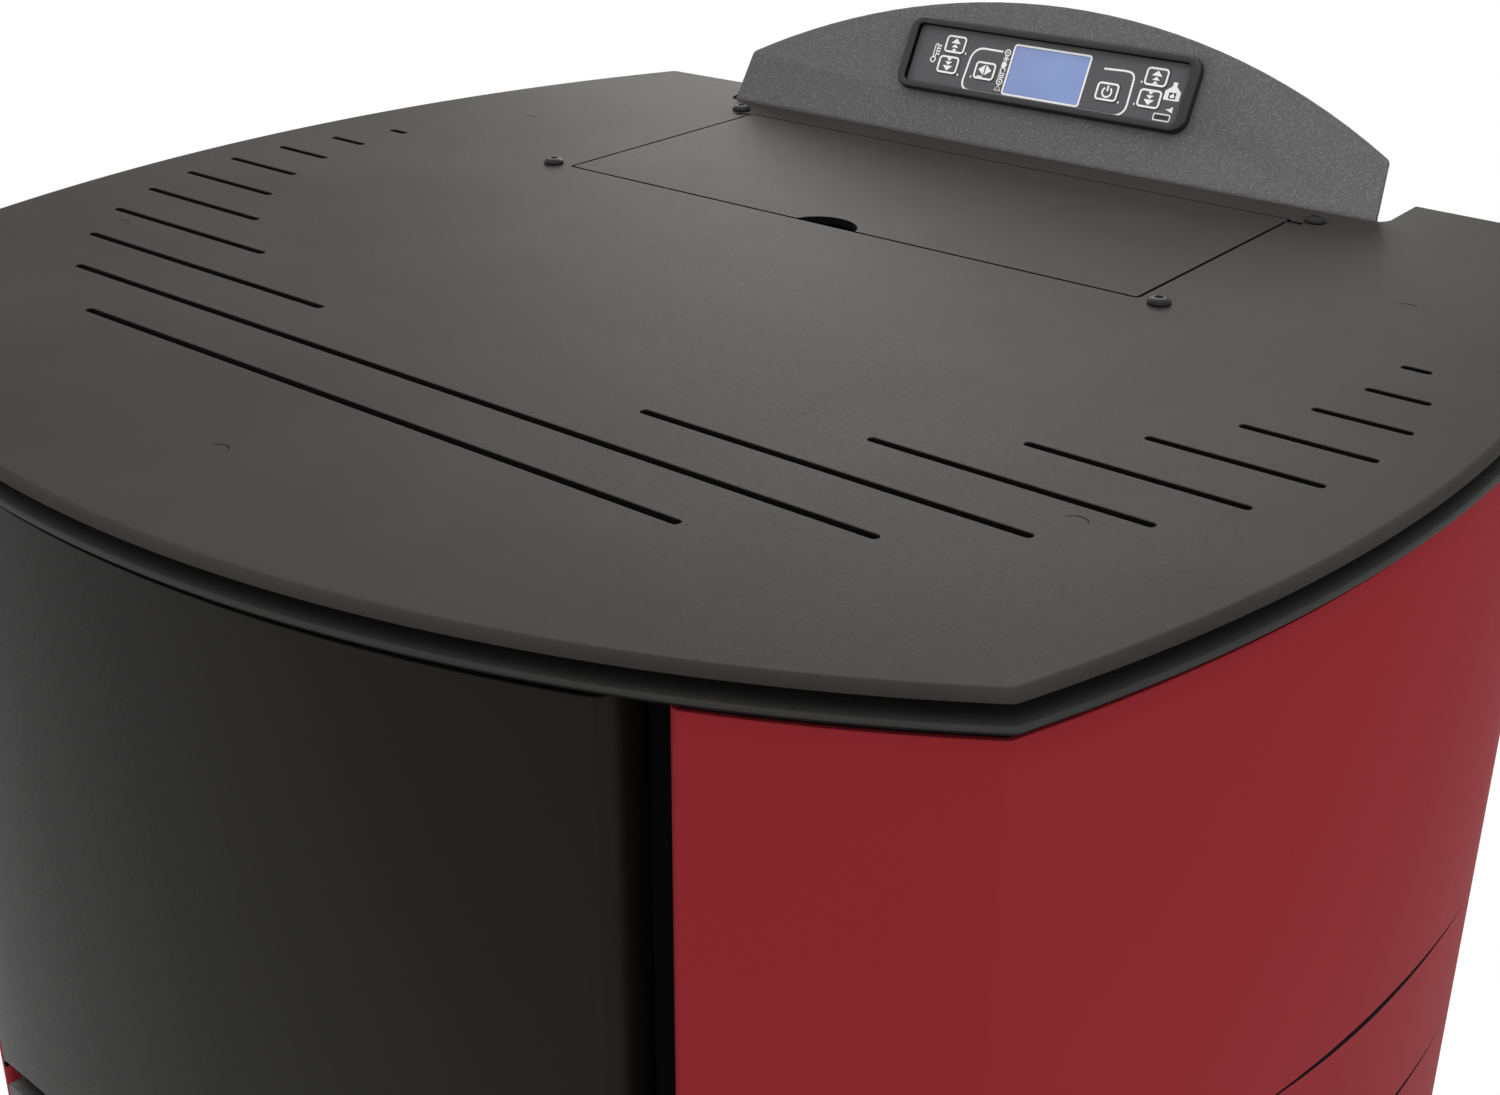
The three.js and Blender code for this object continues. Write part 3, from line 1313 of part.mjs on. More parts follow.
function airInlet() {
  const y0 = fireboxBackY - fireboxWall - 2;
  const along = (from, to, radius) => {
    return rod(at(airInletX, from, airInletZ), at(airInletX, to, airInletZ), radius, 24);
  };
  const bead = along(backY + 4, backY + 8, airInletRadius + 2.5);
  const bore = along(y0 - 1, pipeEndY + 1, airInletRadius - flueWall);
  return cut(join(along(y0, pipeEndY, airInletRadius), bead), bore);
}

addPiece(stove, 'exhaust_duct', exhaustDuct(), galvanised);
addPiece(stove, 'exhaust_fan_housing', exhaustHousing(), galvanised);
addPiece(stove, 'exhaust_impeller', exhaustImpeller(), satinSteel).position.set(0, volutesY, volutesZ);
addPiece(stove, 'exhaust_fan_motor', exhaustMotor(), satinSteel);
addPiece(stove, 'flue_outlet', flueOutlet(), galvanised);
addPiece(stove, 'air_inlet', airInlet(), galvanised);

// ---- Room fan ----

const scrollRadius = roomRotorRadius + 8;

function roomFanHousing() {
  const w = 2;
  const x0 = roomFanX0;
  const x1 = roomFanX1;
  const low = panelBottomZ;
  const scroll = rod(at(x0, roomFanY, roomFanZ), at(x1, roomFanY, roomFanZ), scrollRadius, 32);
  const spoutFront = roomFanY - scrollRadius;
  const spoutBack = roomFanY - 4;
  const spout = box(x0, x1, spoutFront, spoutBack, roomFanZ, roomFanZ + 75);
  const stand = box(x0, x1, roomFanY - 20, roomFanY + 20, low, roomFanZ - 20);
  const room = rod(at(x0 + w, roomFanY, roomFanZ), at(x1 - w, roomFanY, roomFanZ), scrollRadius - w, 32);
  const spoutRoom = box(x0 + w, x1 - w, spoutFront + w, spoutBack - w, roomFanZ, roomFanZ + 80);
  const standRoom = box(x0 - 1, x1 + 1, roomFanY - 18, roomFanY + 18, low + w, roomFanZ - scrollRadius - 2);
  const intake = box(x0 + 8, x1 - 8, roomFanY + 6, roomFanY + 60, roomFanZ - 18, roomFanZ + 22);
  const shaftHole = rod(at(x0 - 5, roomFanY, roomFanZ), at(x0 + 5, roomFanY, roomFanZ), 4 + gap, 16);
  return cut(join(scroll, spout, stand), room, spoutRoom, standRoom, intake, shaftHole);
}

function roomRotor() {
  const x0 = roomFanX0 + 2 + 2;
  const x1 = roomFanX1 - 2 - 2;
  const r = roomRotorRadius;
  const discs = [x0, (x0 + x1) / 2 - 1, x1 - 2].map((x) => rod(at(x, 0, 0), at(x + 2, 0, 0), r, 16));
  const blades = Array.from({ length: 12 }, (_, i) => {
    return box(x0 + 1, x1 - 1, -0.8, 0.8, r - 9, r - 2).rotateX(i * Math.PI / 6);
  });
  const shaft = rod(at(roomFanX0 - 14, 0, 0), at(x0 + 1, 0, 0), 4, 16);
  return join(shaft, ...discs, ...blades);
}

function roomMotor() {
  const x1 = roomFanX0 - gap;
  const body = rod(at(x1 - 44, roomFanY, roomFanZ), at(x1, roomFanY, roomFanZ), 24, 28);
  const socket = rod(at(x1 - 20, roomFanY, roomFanZ), at(x1 + 5, roomFanY, roomFanZ), 4 + gap, 16);
  const stand = box(x1 - 36, x1 - 8, roomFanY - 12, roomFanY + 12, panelBottomZ, roomFanZ - 15);
  return cut(join(body, stand), socket);
}

addPiece(stove, 'room_fan_housing', roomFanHousing(), galvanised);
addPiece(stove, 'room_fan_rotor', roomRotor(), satinSteel).position.set(0, roomFanY, roomFanZ);
addPiece(stove, 'room_fan_motor', roomMotor(), satinSteel);

// ---- Electrical parts ----

function controlBoard() {
  const y1 = backPanelY - 14;
  const board = box(boardX - 55, boardX + 55, y1 - boardThickness, y1, boardZ - 80, boardZ + 80);
  const posts = [[-48, -72], [48, -72], [48, 72], [-48, 72]].map(([x, z]) => {
    return rod(at(boardX + x, y1 - 1, boardZ + z), at(boardX + x, backPanelY - gap, boardZ + z), 4, 12);
  });
  const transformer = box(boardX - 40, boardX - 2, y1 - 30, y1 - 1, boardZ - 60, boardZ - 22);
  const relays = [0, 1, 2].map((i) => {
    return box(boardX + 8, boardX + 28, y1 - 17, y1 - 1, boardZ - 60 + i * 26, boardZ - 40 + i * 26);
  });
  const capacitor = rod(at(boardX - 22, y1 - 1, boardZ + 24), at(boardX - 22, y1 - 32, boardZ + 24), 12, 20);
  return join(board, ...posts, transformer, ...relays, capacitor);
}

const inletZ = mainsZ - 10;
const switchZ = mainsZ + 15;

function mainsInlet() {
  const face = backY + 2;
  const body = box(mainsX - 14, mainsX + 14, backPanelY - 26, face - 1, mainsZ - 25, mainsZ + 25);
  const flange = box(mainsX - 18, mainsX + 18, backPanelY + sheet + gap, face + 1, mainsZ - 30, mainsZ + 30);
  const socket = box(mainsX - 12, mainsX + 12, face - 16, face + 5, inletZ - 10, inletZ + 8);
  const rockerRoom = box(mainsX - 11, mainsX + 11, face - 14, face + 5, switchZ - 8, switchZ + 8);
  const pins = [[-7, -4], [0, -4], [7, -4]].map(([x, z]) => {
    return box(mainsX + x - 1, mainsX + x + 1, face - 18, face - 4, inletZ + z - 2, inletZ + z + 2);
  });
  return join(cut(join(body, flange), socket, rockerRoom), ...pins);
}

// A rocker with a raised end, on a pivot across its middle.
function powerSwitch() {
  const half = 7.4;
  const profile = rounded([
    point(-6, -half + 0.6), point(1.6, -half), point(0, 0), point(1.6, half), point(-6, half - 0.6),
  ], 0.8, true);
  return beam(profile, -10, 10);
}

addPiece(stove, 'control_board', controlBoard(), circuitGreen);
addPiece(stove, 'mains_inlet', mainsInlet(), moulded);
addPiece(stove, 'power_switch', powerSwitch(), moulded).position.set(mainsX, backY + 3, switchZ);

export default stove;
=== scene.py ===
"""The dressed pellet stove: casing, slotted top, hopper lid, key panel, fire door, feed and fans.

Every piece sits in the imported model's own frame, in metres, +Z up, with the stove's front at -Y.
Sizes in the classes are in millimetres, as a maker would write them.
"""
import logging
import math
from dataclasses import dataclass, field
from enum import Enum
from typing import Callable, Iterable, Sequence

import bmesh
import bpy
from mathutils import Matrix, Vector
from mathutils.geometry import tessellate_polygon


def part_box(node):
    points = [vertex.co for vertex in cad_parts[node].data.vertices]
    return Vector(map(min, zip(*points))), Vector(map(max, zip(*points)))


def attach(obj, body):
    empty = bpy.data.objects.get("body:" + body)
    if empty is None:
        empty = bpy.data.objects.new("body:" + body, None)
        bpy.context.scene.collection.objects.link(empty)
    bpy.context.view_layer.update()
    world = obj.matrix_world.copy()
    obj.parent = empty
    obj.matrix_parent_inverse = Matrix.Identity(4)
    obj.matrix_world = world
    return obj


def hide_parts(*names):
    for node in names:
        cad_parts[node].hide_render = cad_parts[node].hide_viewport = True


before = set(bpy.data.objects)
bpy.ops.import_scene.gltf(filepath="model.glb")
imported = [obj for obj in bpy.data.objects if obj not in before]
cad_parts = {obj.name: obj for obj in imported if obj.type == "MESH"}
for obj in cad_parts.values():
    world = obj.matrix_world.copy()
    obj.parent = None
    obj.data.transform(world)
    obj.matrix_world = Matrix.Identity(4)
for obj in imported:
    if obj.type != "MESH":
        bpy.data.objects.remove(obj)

LOG = logging.getLogger("stove")
MM = 0.001
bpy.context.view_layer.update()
SAME_POINT_M = 5e-6
SAME_LEVEL_M = 2e-5
SLIVER_M = 1.5e-4
FLAT_DEG = 0.4

Point = tuple[float, float]
Place = tuple[float, float, float]
Outline = list[Point]
Plate = Sequence[Outline]
Socket = bpy.types.NodeSocket


# ---------------------------------------------------------------- shader helpers


def linear(hex_colour: str) -> tuple[float, float, float, float]:
    """Turns an sRGB hex colour into the linear colour that a shader reads.

    Args:
        hex_colour: Six hex digits, such as "57564f".

    Returns:
        Linear red, green, blue and an alpha of 1.
    """
    channels = [int(hex_colour[i:i + 2], 16) / 255 for i in (0, 2, 4)]
    curved = [c / 12.92 if c <= 0.04045 else ((c + 0.055) / 1.055) ** 2.4 for c in channels]
    return (curved[0], curved[1], curved[2], 1.0)


def feed(node: bpy.types.Node, inputs: dict[str | int, object]) -> None:
    """Feeds a node's inputs.

    Args:
        node: The node.
        inputs: Input name or number to a constant, or to the output socket to link.
    """
    for name, value in inputs.items():
        if isinstance(value, Socket):
            node.id_data.links.new(value, node.inputs[name])
        else:
            node.inputs[name].default_value = value


def add_node(tree: bpy.types.NodeTree, kind: str, inputs: dict[str | int, object],
             **settings: object) -> bpy.types.Node:
    """Adds one shader node.

    Args:
        tree: The node tree that takes the node.
        kind: Blender's name of the node type, without its first part.
        inputs: What the node's inputs are fed.
        settings: Attributes to set on the node.

    Returns:
        The new node.
    """
    node = tree.nodes.new(f"ShaderNode{kind}")
    for name, value in settings.items():
        setattr(node, name, value)
    feed(node, inputs)
    return node


def combine(tree: bpy.types.NodeTree, operation: str, a: Socket, b: Socket) -> Socket:
    """Returns the result of an arithmetic operation on two values."""
    return add_node(tree, "Math", {0: a, 1: b}, operation=operation).outputs[0]


def seen_rays(tree: bpy.types.NodeTree) -> Socket:
    """Tells the rays that the eye sees, directly or by a reflection or through glass, from the rest.

    Args:
        tree: The node tree that takes the nodes.

    Returns:
        A socket that gives 1 for such rays and 0 for others.
    """
    path = add_node(tree, "LightPath", {}).outputs
    direct = combine(tree, "MAXIMUM", path["Is Camera Ray"], path["Is Glossy Ray"])
    return combine(tree, "MAXIMUM", direct, path["Is Transmission Ray"])


class Surface:
    """A material in the making: its shader, and the place on the piece, in metres."""

    def __init__(self, finish: "Finish") -> None:
        """Starts the material of a finish.

        Args:
            finish: The finish.
        """
        self.finish = finish
        self.material = bpy.data.materials.new(finish.name)
        self.material.use_nodes = True
        self.tree = self.material.node_tree
        self.tree.nodes.clear()
        self.shader = add_node(self.tree, "BsdfPrincipled", {
            "Base Color": linear(finish.colour), "Roughness": finish.roughness, "Metallic": finish.metallic,
        })
        if finish.metallic < 0.5:
            feed(self.shader, {"Specular IOR Level": finish.specular})
        self.place = add_node(self.tree, "NewGeometry", {}).outputs["Position"]
        add_node(self.tree, "OutputMaterial", {"Surface": self.shader.outputs[0]})

    def noise(self, size_mm: float, detail: float = 3.0, place: Socket | None = None) -> Socket:
        """Adds a noise.

        Args:
            size_mm: About how wide its blotches are.
            detail: How many finer layers it has.
            place: The place to read it at, when that isn't the place on the piece.

        Returns:
            Its value, from 0 to 1.
        """
        return add_node(self.tree, "TexNoise", {
            "Vector": place or self.place, "Scale": 1000 / size_mm, "Detail": detail, "Roughness": 0.55,
        }).outputs["Fac"]

    def cells(self, size_mm: float) -> bpy.types.bpy_prop_collection:
        """Splits the surface into cells.

        Args:
            size_mm: About how wide a cell is.

        Returns:
            Three sockets that each give one random value for each cell.
        """
        inputs = {"Vector": self.place, "Scale": 1000 / size_mm}
        cells = add_node(self.tree, "TexVoronoi", inputs, feature="F1")
        return add_node(self.tree, "SeparateColor", {"Color": cells.outputs["Color"]}).outputs

    def ramp(self, value: Socket, source: Point, target: Point = (0.0, 1.0)) -> Socket:
        """Maps a value from one range to another, without leaving the second.

        Args:
            value: The value to map.
            source: The range that it comes from.
            target: The range that it goes to.

        Returns:
            The mapped value.
        """
        return add_node(self.tree, "MapRange", {
            "Value": value, "From Min": source[0], "From Max": source[1],
            "To Min": target[0], "To Max": target[1],
        }, clamp=True).outputs["Result"]

    def mix(self, factor: Socket, dark: str, pale: str) -> Socket:
        """Returns the mix of two sRGB hex colours, all pale where the factor is 1."""
        inputs = {"Factor": factor, 6: linear(dark), 7: linear(pale)}
        return add_node(self.tree, "Mix", inputs, data_type="RGBA").outputs[2]

    def tint(self, factor: Socket, pale: str) -> None:
        """Draws the finish's colour towards a second one by a factor."""
        feed(self.shader, {"Base Color": self.mix(factor, self.finish.colour, pale)})

    def gloss(self, value: Socket, source: Point, spread: float) -> None:
        """Varies the roughness by a value.

        Args:
            value: The value.
            source: The value's range.
            spread: How far the roughness goes to each side of the finish's own.
        """
        rough = self.finish.roughness
        feed(self.shader, {"Roughness": self.ramp(value, source, (rough - spread, rough + spread))})

    def relief(self, height: Socket, depth_mm: float) -> None:
        """Raises the surface by a height from 0 to 1, up to a depth."""
        bump = add_node(self.tree, "Bump", {"Height": height, "Distance": depth_mm * MM, "Strength": 1.0})
        feed(self.shader, {"Normal": bump.outputs["Normal"]})


# ---------------------------------------------------------------- finishes


@dataclass(frozen=True)
class Finish:
    """A real material with the way its surface was made.

    Each subclass adds its own pattern, in millimetres, and the material is built once.
    """

    name: str
    colour: str
    roughness: float
    specular: float = 0.5
    metallic: float = 0.0

    def material(self) -> bpy.types.Material:
        """Builds the finish's material on first use.

        Returns:
            The material.
        """
        known = bpy.data.materials.get(self.name)
        if known:
            return known
        surface = Surface(self)
        self.pattern(surface)
        return surface.material

    def pattern(self, surface: Surface) -> None:
        """Adds the finish's pattern, when it has one."""


@dataclass(frozen=True)
class PowderCoat(Finish):
    """Polyester powder baked on steel: satin, with a very fine orange peel and faint cloudy patches."""

    pale: str = ""
    grain_mm: float = 1.1
    grain_depth_mm: float = 0.02
    cloud_mm: float = 170.0

    def pattern(self, surface: Surface) -> None:
        """Adds clouds to the colour, and orange peel to the surface.

        Args:
            surface: The material in the making.
        """
        surface.tint(surface.ramp(surface.noise(self.cloud_mm, 4.0), (0.3, 0.7)), self.pale or self.colour)
        grain = surface.noise(self.grain_mm, 2.0)
        surface.gloss(grain, (0.25, 0.75), 0.04)
        surface.relief(grain, self.grain_depth_mm)


@dataclass(frozen=True)
class SpeckledPowderCoat(Finish):
    """Textured powder with aluminium flakes: a dark sandy skin that glints in pale specks."""

    fleck: str = "7d7c7e"
    fleck_mm: float = 0.5
    sand_mm: float = 0.9
    sand_depth_mm: float = 0.05
    fleck_gloss: float = 0.2

    def pattern(self, surface: Surface) -> None:
        """Scatters flakes over a sandy relief.

        Args:
            surface: The material in the making.
        """
        fleck = surface.ramp(surface.cells(self.fleck_mm)[0], (0.66, 0.97))
        sand = surface.noise(self.sand_mm)
        worn = surface.ramp(sand, (0.3, 0.7), (0.35, 1.0))
        surface.tint(combine(surface.tree, "MULTIPLY", fleck, worn), self.fleck)
        rough = surface.ramp(fleck, (0.0, 1.0), (self.roughness, self.roughness - self.fleck_gloss))
        feed(surface.shader, {"Roughness": rough})
        surface.relief(sand, self.sand_depth_mm)


@dataclass(frozen=True)
class Moulding(Finish):
    """Plastic, film or ink with an even, very fine grain that softens the highlights."""

    grain_mm: float = 0.35
    grain_depth_mm: float = 0.015

    def pattern(self, surface: Surface) -> None:
        """Adds the grain.

        Args:
            surface: The material in the making.
        """
        grain = surface.noise(self.grain_mm, 2.0)
        surface.gloss(grain, (0.2, 0.8), 0.05)
        surface.relief(grain, self.grain_depth_mm)


@dataclass(frozen=True)
class DisplayWindow(Finish):
    """A lit liquid-crystal window under clear acrylic: even blue, a little deeper in places."""

    deep: str = "8194c4"
    glow: float = 0.12
    cloud_mm: float = 26.0

    def pattern(self, surface: Surface) -> None:
        """Lights the window from behind.

        Args:
            surface: The material in the making.
        """
        spread = surface.ramp(surface.noise(self.cloud_mm, 1.0), (0.3, 0.7))
        colour = surface.mix(spread, self.deep, self.colour)
        feed(surface.shader, {"Base Color": colour, "Emission Color": colour,
                              "Emission Strength": self.glow})


@dataclass(frozen=True)
class ZincSheet(Finish):
    """Hot-dip galvanised sheet: grey metal with a faint pattern of zinc crystals."""

    pale: str = "9b9d9d"
    spangle_mm: float = 5.5

    def pattern(self, surface: Surface) -> None:
        """Tints each zinc crystal.

        Args:
            surface: The material in the making.
        """
        crystal = surface.cells(self.spangle_mm)
        surface.tint(crystal[0], self.pale)
        surface.gloss(crystal[1], (0.0, 1.0), 0.08)


@dataclass(frozen=True)
class SandCasting(Finish):
    """Cast iron from a sand mould, blacked: dull, with a grainy skin."""

    pale: str = "2c2a28"
    sand_mm: float = 2.2
    sand_depth_mm: float = 0.25

    def pattern(self, surface: Surface) -> None:
        """Adds the mould's sand.

        Args:
            surface: The material in the making.
        """
        sand = surface.noise(self.sand_mm, 5.0)
        surface.tint(sand, self.pale)
        surface.relief(sand, self.sand_depth_mm)


@dataclass(frozen=True)
class BrushedMetal(Finish):
    """Steel finished with a belt or a brush: fine lines along one direction that stretch the highlights."""

    line_mm: float = 0.5
    line_depth_mm: float = 0.01
    along: Place = (1.0, 1.0, 0.05)

    def pattern(self, surface: Surface) -> None:
        """Adds the brushing.

        Args:
            surface: The material in the making.
        """
        stretched = add_node(surface.tree, "Mapping", {"Vector": surface.place, "Scale": self.along})
        lines = surface.noise(self.line_mm, 2.0, stretched.outputs[0])
        surface.gloss(lines, (0.25, 0.75), 0.09)
        surface.relief(lines, self.line_depth_mm)


@dataclass(frozen=True)
class FireGlass(Finish):
    """Glass ceramic, drawn and polished: clear, faintly brown, with hard reflections and a thin haze."""

    ior: float = 1.53
    haze_mm: float = 60.0
    haze: float = 0.05

    def pattern(self, surface: Surface) -> None:
        """Lets the light through, with a haze of soot in patches.

        Args:
            surface: The material in the making.
        """
        soot = surface.noise(self.haze_mm, 4.0)
        rough = surface.ramp(soot, (0.4, 0.8), (self.roughness, self.roughness + self.haze))
        feed(surface.shader, {"Transmission Weight": 1.0, "IOR": self.ior, "Roughness": rough})


@dataclass(frozen=True)
class GlassRope(Finish):
    """Braided glass fibre: off-white, with the braid's small diamonds."""

    shadow: str = "8f897b"
    braid_mm: float = 3.0
    braid_depth_mm: float = 0.3

    def pattern(self, surface: Surface) -> None:
        """Adds the braid.

        Args:
            surface: The material in the making.
        """
        diagonal = (0.0, math.radians(45), 0.0)
        turned = add_node(surface.tree, "Mapping", {"Vector": surface.place, "Rotation": diagonal})
        braid = add_node(surface.tree, "TexChecker", {
            "Vector": turned.outputs[0], "Scale": 1000 / self.braid_mm,
            "Color1": linear(self.colour), "Color2": linear(self.shadow),
        })
        feed(surface.shader, {"Base Color": braid.outputs["Color"]})
        surface.relief(braid.outputs["Fac"], self.braid_depth_mm)


@dataclass(frozen=True)
class CircuitBoard(Finish):
    """Glass-epoxy board under green solder resist, with the copper tracks just showing through."""

    island: str = "1b6a3f"
    track: str = "2f7d4d"
    track_mm: float = 5.0

    def pattern(self, surface: Surface) -> None:
        """Shows the tracks under the resist.

        Args:
            surface: The material in the making.
        """
        tracks = add_node(surface.tree, "TexBrick", {
            "Vector": surface.place, "Scale": 1000 / self.track_mm, "Color1": linear(self.colour),
            "Color2": linear(self.island), "Mortar": linear(self.track), "Mortar Size": 0.02,
        }, offset=0.5)
        feed(surface.shader, {"Base Color": tracks.outputs["Color"]})


# Top plate and lid: warm dark grey powder coat, matt enough that the slots stand out.
TOP_COAT = PowderCoat("top_powder_coat_warm_grey", "353230", 0.55, 0.02, pale="3c3937", cloud_mm=110.0)
# Ring under the plate: dark grey powder coat, a shade blacker than the plate's, as painted shade under the
# plate's overhang.
RIM_SHADED_COAT = PowderCoat("rim_powder_coat_painted_shade", "2e2d2c", 0.5, 0.12, pale="313030")
# Front panels: near-black satin powder coat, which greys only where it is seen at a low angle.
FRONT_COAT = PowderCoat("front_powder_coat_black", "141311", 0.5, 0.09, pale="161413")
# Behind the joints and on the walls of slots, grooves and recesses: matt black, as painted shade, so that
# the gaps stay dark.
SHADE_BLACK = PowderCoat("painted_shade_matt_black", "080808", 0.85, 0.1, pale="0a0a0a", grain_mm=0.6)
# Side panels: deep red satin powder coat, even all over.
SIDE_COAT = PowderCoat("side_powder_coat_red", "8a272d", 0.6, 0.03, pale="8c282e")
# Key panel: dark grey textured powder coat with metal flakes.
KEY_PANEL_COAT = SpeckledPowderCoat("key_panel_flaked_powder_coat", "5d5c5d", 0.6, 0.2)
# Bezel, feet, inlet: black plastic from a spark-eroded mould.
BLACK_MOULDING = Moulding("bezel_moulded_abs_black", "1e1e1f", 0.5, 0.4)
# Keypad overlay: grey printed polycarbonate film.
KEYPAD_FILM = Moulding("keypad_polycarbonate_film_grey", "59595b", 0.5, 0.25, grain_mm=0.5)
# Keypad symbols: opaque white screen ink.
WHITE_INK = Moulding("keypad_screen_ink_white", "ffffff", 0.6, 0.3, grain_depth_mm=0.002)
# The dark marks inside the white symbols: black screen ink.
DARK_INK = Moulding("keypad_screen_ink_dark", "2b2b2d", 0.5, 0.3, grain_depth_mm=0.002)
# Display: an even, faintly glowing blue.
DISPLAY = DisplayWindow("display_lit_acrylic_blue", "8b9ecf", 0.3, 0.3)
# Sheet inside and at the back: dull grey metal with crystals.
ZINC = ZincSheet("inner_zinc_sheet", "8d8f8f", 0.45, metallic=1.0)
# Firebox and burn pot: dull blacked iron.
IRON = SandCasting("firebox_cast_iron", "1c1b1a", 0.8, 0.15)
# Screws and pins: black oxide, which gives a soft dark sheen.
BLACK_OXIDE = BrushedMetal("screw_black_oxide_steel", "151516", 0.6, 0.2, line_mm=0.8)
# Handle and motors: pale steel with a stretched highlight.
SATIN_STEEL = BrushedMetal("handle_satin_stainless_steel", "b9b9b8", 0.3, metallic=1.0)
# Door glass: clear, with a faint brown.
FIRE_GLASS = FireGlass("door_glass_ceramic", "93887c", 0.02)
# The glass's border: black ceramic enamel, fired on and glossy through the glass.
BORDER_INK = Moulding("door_glass_enamel_black", "0d0d0d", 0.5, 0.3, grain_depth_mm=0.001)
# Door seal: dull off-white braid.
SEAL_ROPE = GlassRope("door_seal_glass_fibre", "c4bdad", 0.9, 0.1)
# Circuit boards: glossy green.
BOARD_GREEN = CircuitBoard("board_solder_resist_green", "185a35", 0.4, 0.5)


# ---------------------------------------------------------------- places and outlines


class Body(Enum):
    """The bodies that pieces ride on."""

    CASING = "casing"
    LID = "lid"
    DOOR = "door"
    HANDLE = "handle"
    DRAWER = "drawer"
    POT = "pot"
    AUGER = "auger"
    EXHAUST_ROTOR = "exhaust_rotor"
    ROOM_ROTOR = "room_rotor"
    ROCKER = "rocker"
    KEY_LEFT_UP = "key_left_up"
    KEY_LEFT_DOWN = "key_left_down"
    KEY_MENU = "key_menu"
    KEY_POWER = "key_power"
    KEY_RIGHT_UP = "key_right_up"
    KEY_RIGHT_DOWN = "key_right_down"


BACK_EDGE_MM = 307.4
TOP_MM = 1050.0
FRONT_RADIUS_MM = 472.0
FRONT_CENTRE_Y = 228.7
SIDE_RADIUS_MM = 614.0
SIDE_CENTRE = (-310.0, 48.4)
SHIFT_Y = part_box("top_plate")[1][1] - BACK_EDGE_MM * MM


def spot(x: float, y: float, z: float) -> Vector:
    """Returns the place in the model's frame of one on the top plate's plan, in millimetres."""
    return Vector((x * MM, y * MM + SHIFT_Y, z * MM))


def seat(at: Vector, turn: Matrix = Matrix()) -> Matrix:
    """Returns the matrix that puts turned millimetres at a place in the model's frame."""
    return Matrix.Translation(at) @ turn @ Matrix.Scale(MM, 4)


FRONT_AXIS = spot(0, FRONT_CENTRE_Y, 0)


def arc(cx: float, cy: float, radius: float, start: float, end: float, step: float = 0.12) -> Outline:
    """Points of an arc, both ends included.

    Args:
        cx: The centre's first coordinate.
        cy: Its second.
        radius: The radius.
        start: The first angle, in radians.
        end: The last angle.
        step: The largest angle between two points.

    Returns:
        The points.
    """
    count = max(2, math.ceil(abs(end - start) / step))
    angles = [start + (end - start) * i / count for i in range(count + 1)]
    return [(cx + radius * math.cos(a), cy + radius * math.sin(a)) for a in angles]


def round_box(cx: float, cy: float, width: float, height: float, radius: float) -> Outline:
    """A rectangle with round corners, anticlockwise.

    Args:
        cx: Middle, across.
        cy: Middle, up.
        width: Full width.
        height: Full height.
        radius: The corners' radius.

    Returns:
        The outline.
    """
    x, y, q = width / 2 - radius, height / 2 - radius, math.pi / 2
    corners = [(x, -y, -q), (x, y, 0.0), (-x, y, q), (-x, -y, 2 * q)]
    return [p for dx, dy, a in corners for p in arc(cx + dx, cy + dy, radius, a, a + q, 0.3)]


def blend(a: Outline, b: Outline, share: float) -> Outline:
    """Returns the outline that lies between two others, at a share of the way."""
    return [(p[0] + (q[0] - p[0]) * share, p[1] + (q[1] - p[1]) * share) for p, q in zip(a, b)]


def rounded_path(points: Sequence[Point], radius: float) -> Outline:
    """Rounds the corners of an open line.

    Args:
        points: The line's corners.
        radius: How far from each corner the rounding starts, at most.

    Returns:
        The rounded line.
    """
    path: Outline = [points[0]]
    for before, corner, after in zip(points, points[1:], points[2:]):
        c = Vector(corner)
        a, b = (c + (Vector(p) - c).normalized() * min(radius, (Vector(p) - c).length / 2)
                for p in (before, after))
        for t in (i / 6 for i in range(7)):
            path.append(tuple(a * (1 - t) ** 2 + c * (2 * t * (1 - t)) + b * t ** 2))
    return path + [points[-1]]


def ribbon(points: Sequence[Point], width: float, closed: bool = False) -> list[Outline]:
    """A line of even width, as one outline, or as an outer and an inner one when it is closed.

    Args:
        points: The middle line.
        width: Its width.
        closed: Whether the line joins its own start.

    Returns:
        The outlines.
    """
    count = len(points)
    left: Outline = []
    right: Outline = []
    for i, p in enumerate(points):
        before = points[i - 1] if closed or i > 0 else p
        after = points[(i + 1) % count] if closed or i < count - 1 else p
        way = Vector((after[0] - before[0], after[1] - before[1])).normalized()
        left.append((p[0] - way.y * width / 2, p[1] + way.x * width / 2))
        right.append((p[0] + way.y * width / 2, p[1] - way.x * width / 2))
    return [left, right] if closed else [left + right[::-1]]


# ---------------------------------------------------------------- meshes and objects


def made(work: bmesh.types.BMesh, mesh: str | bpy.types.Mesh) -> bpy.types.Mesh:
    """Writes edited geometry into a mesh and lets it go.

    Args:
        work: The geometry.
        mesh: The mesh to overwrite, or the name of a new one.

    Returns:
        The mesh.
    """
    target = bpy.data.meshes.new(mesh) if isinstance(mesh, str) else mesh
    work.to_mesh(target)
    work.free()
    return target


def opened(mesh: bpy.types.Mesh) -> bmesh.types.BMesh:
    """Opens a mesh for editing.

    Args:
        mesh: The mesh.

    Returns:
        Its geometry, with the points that lie on each other joined.
    """
    work = bmesh.new()
    work.from_mesh(mesh)
    bmesh.ops.remove_doubles(work, verts=work.verts[:], dist=SAME_POINT_M)
    return work


def in_scene(name: str, data: bpy.types.ID) -> bpy.types.Object:
    """Puts a mesh, light or camera into the scene.

    Args:
        name: The object's name.
        data: What it shows.

    Returns:
        The object.
    """
    placed = bpy.data.objects.new(name, data)
    bpy.context.scene.collection.objects.link(placed)
    return placed


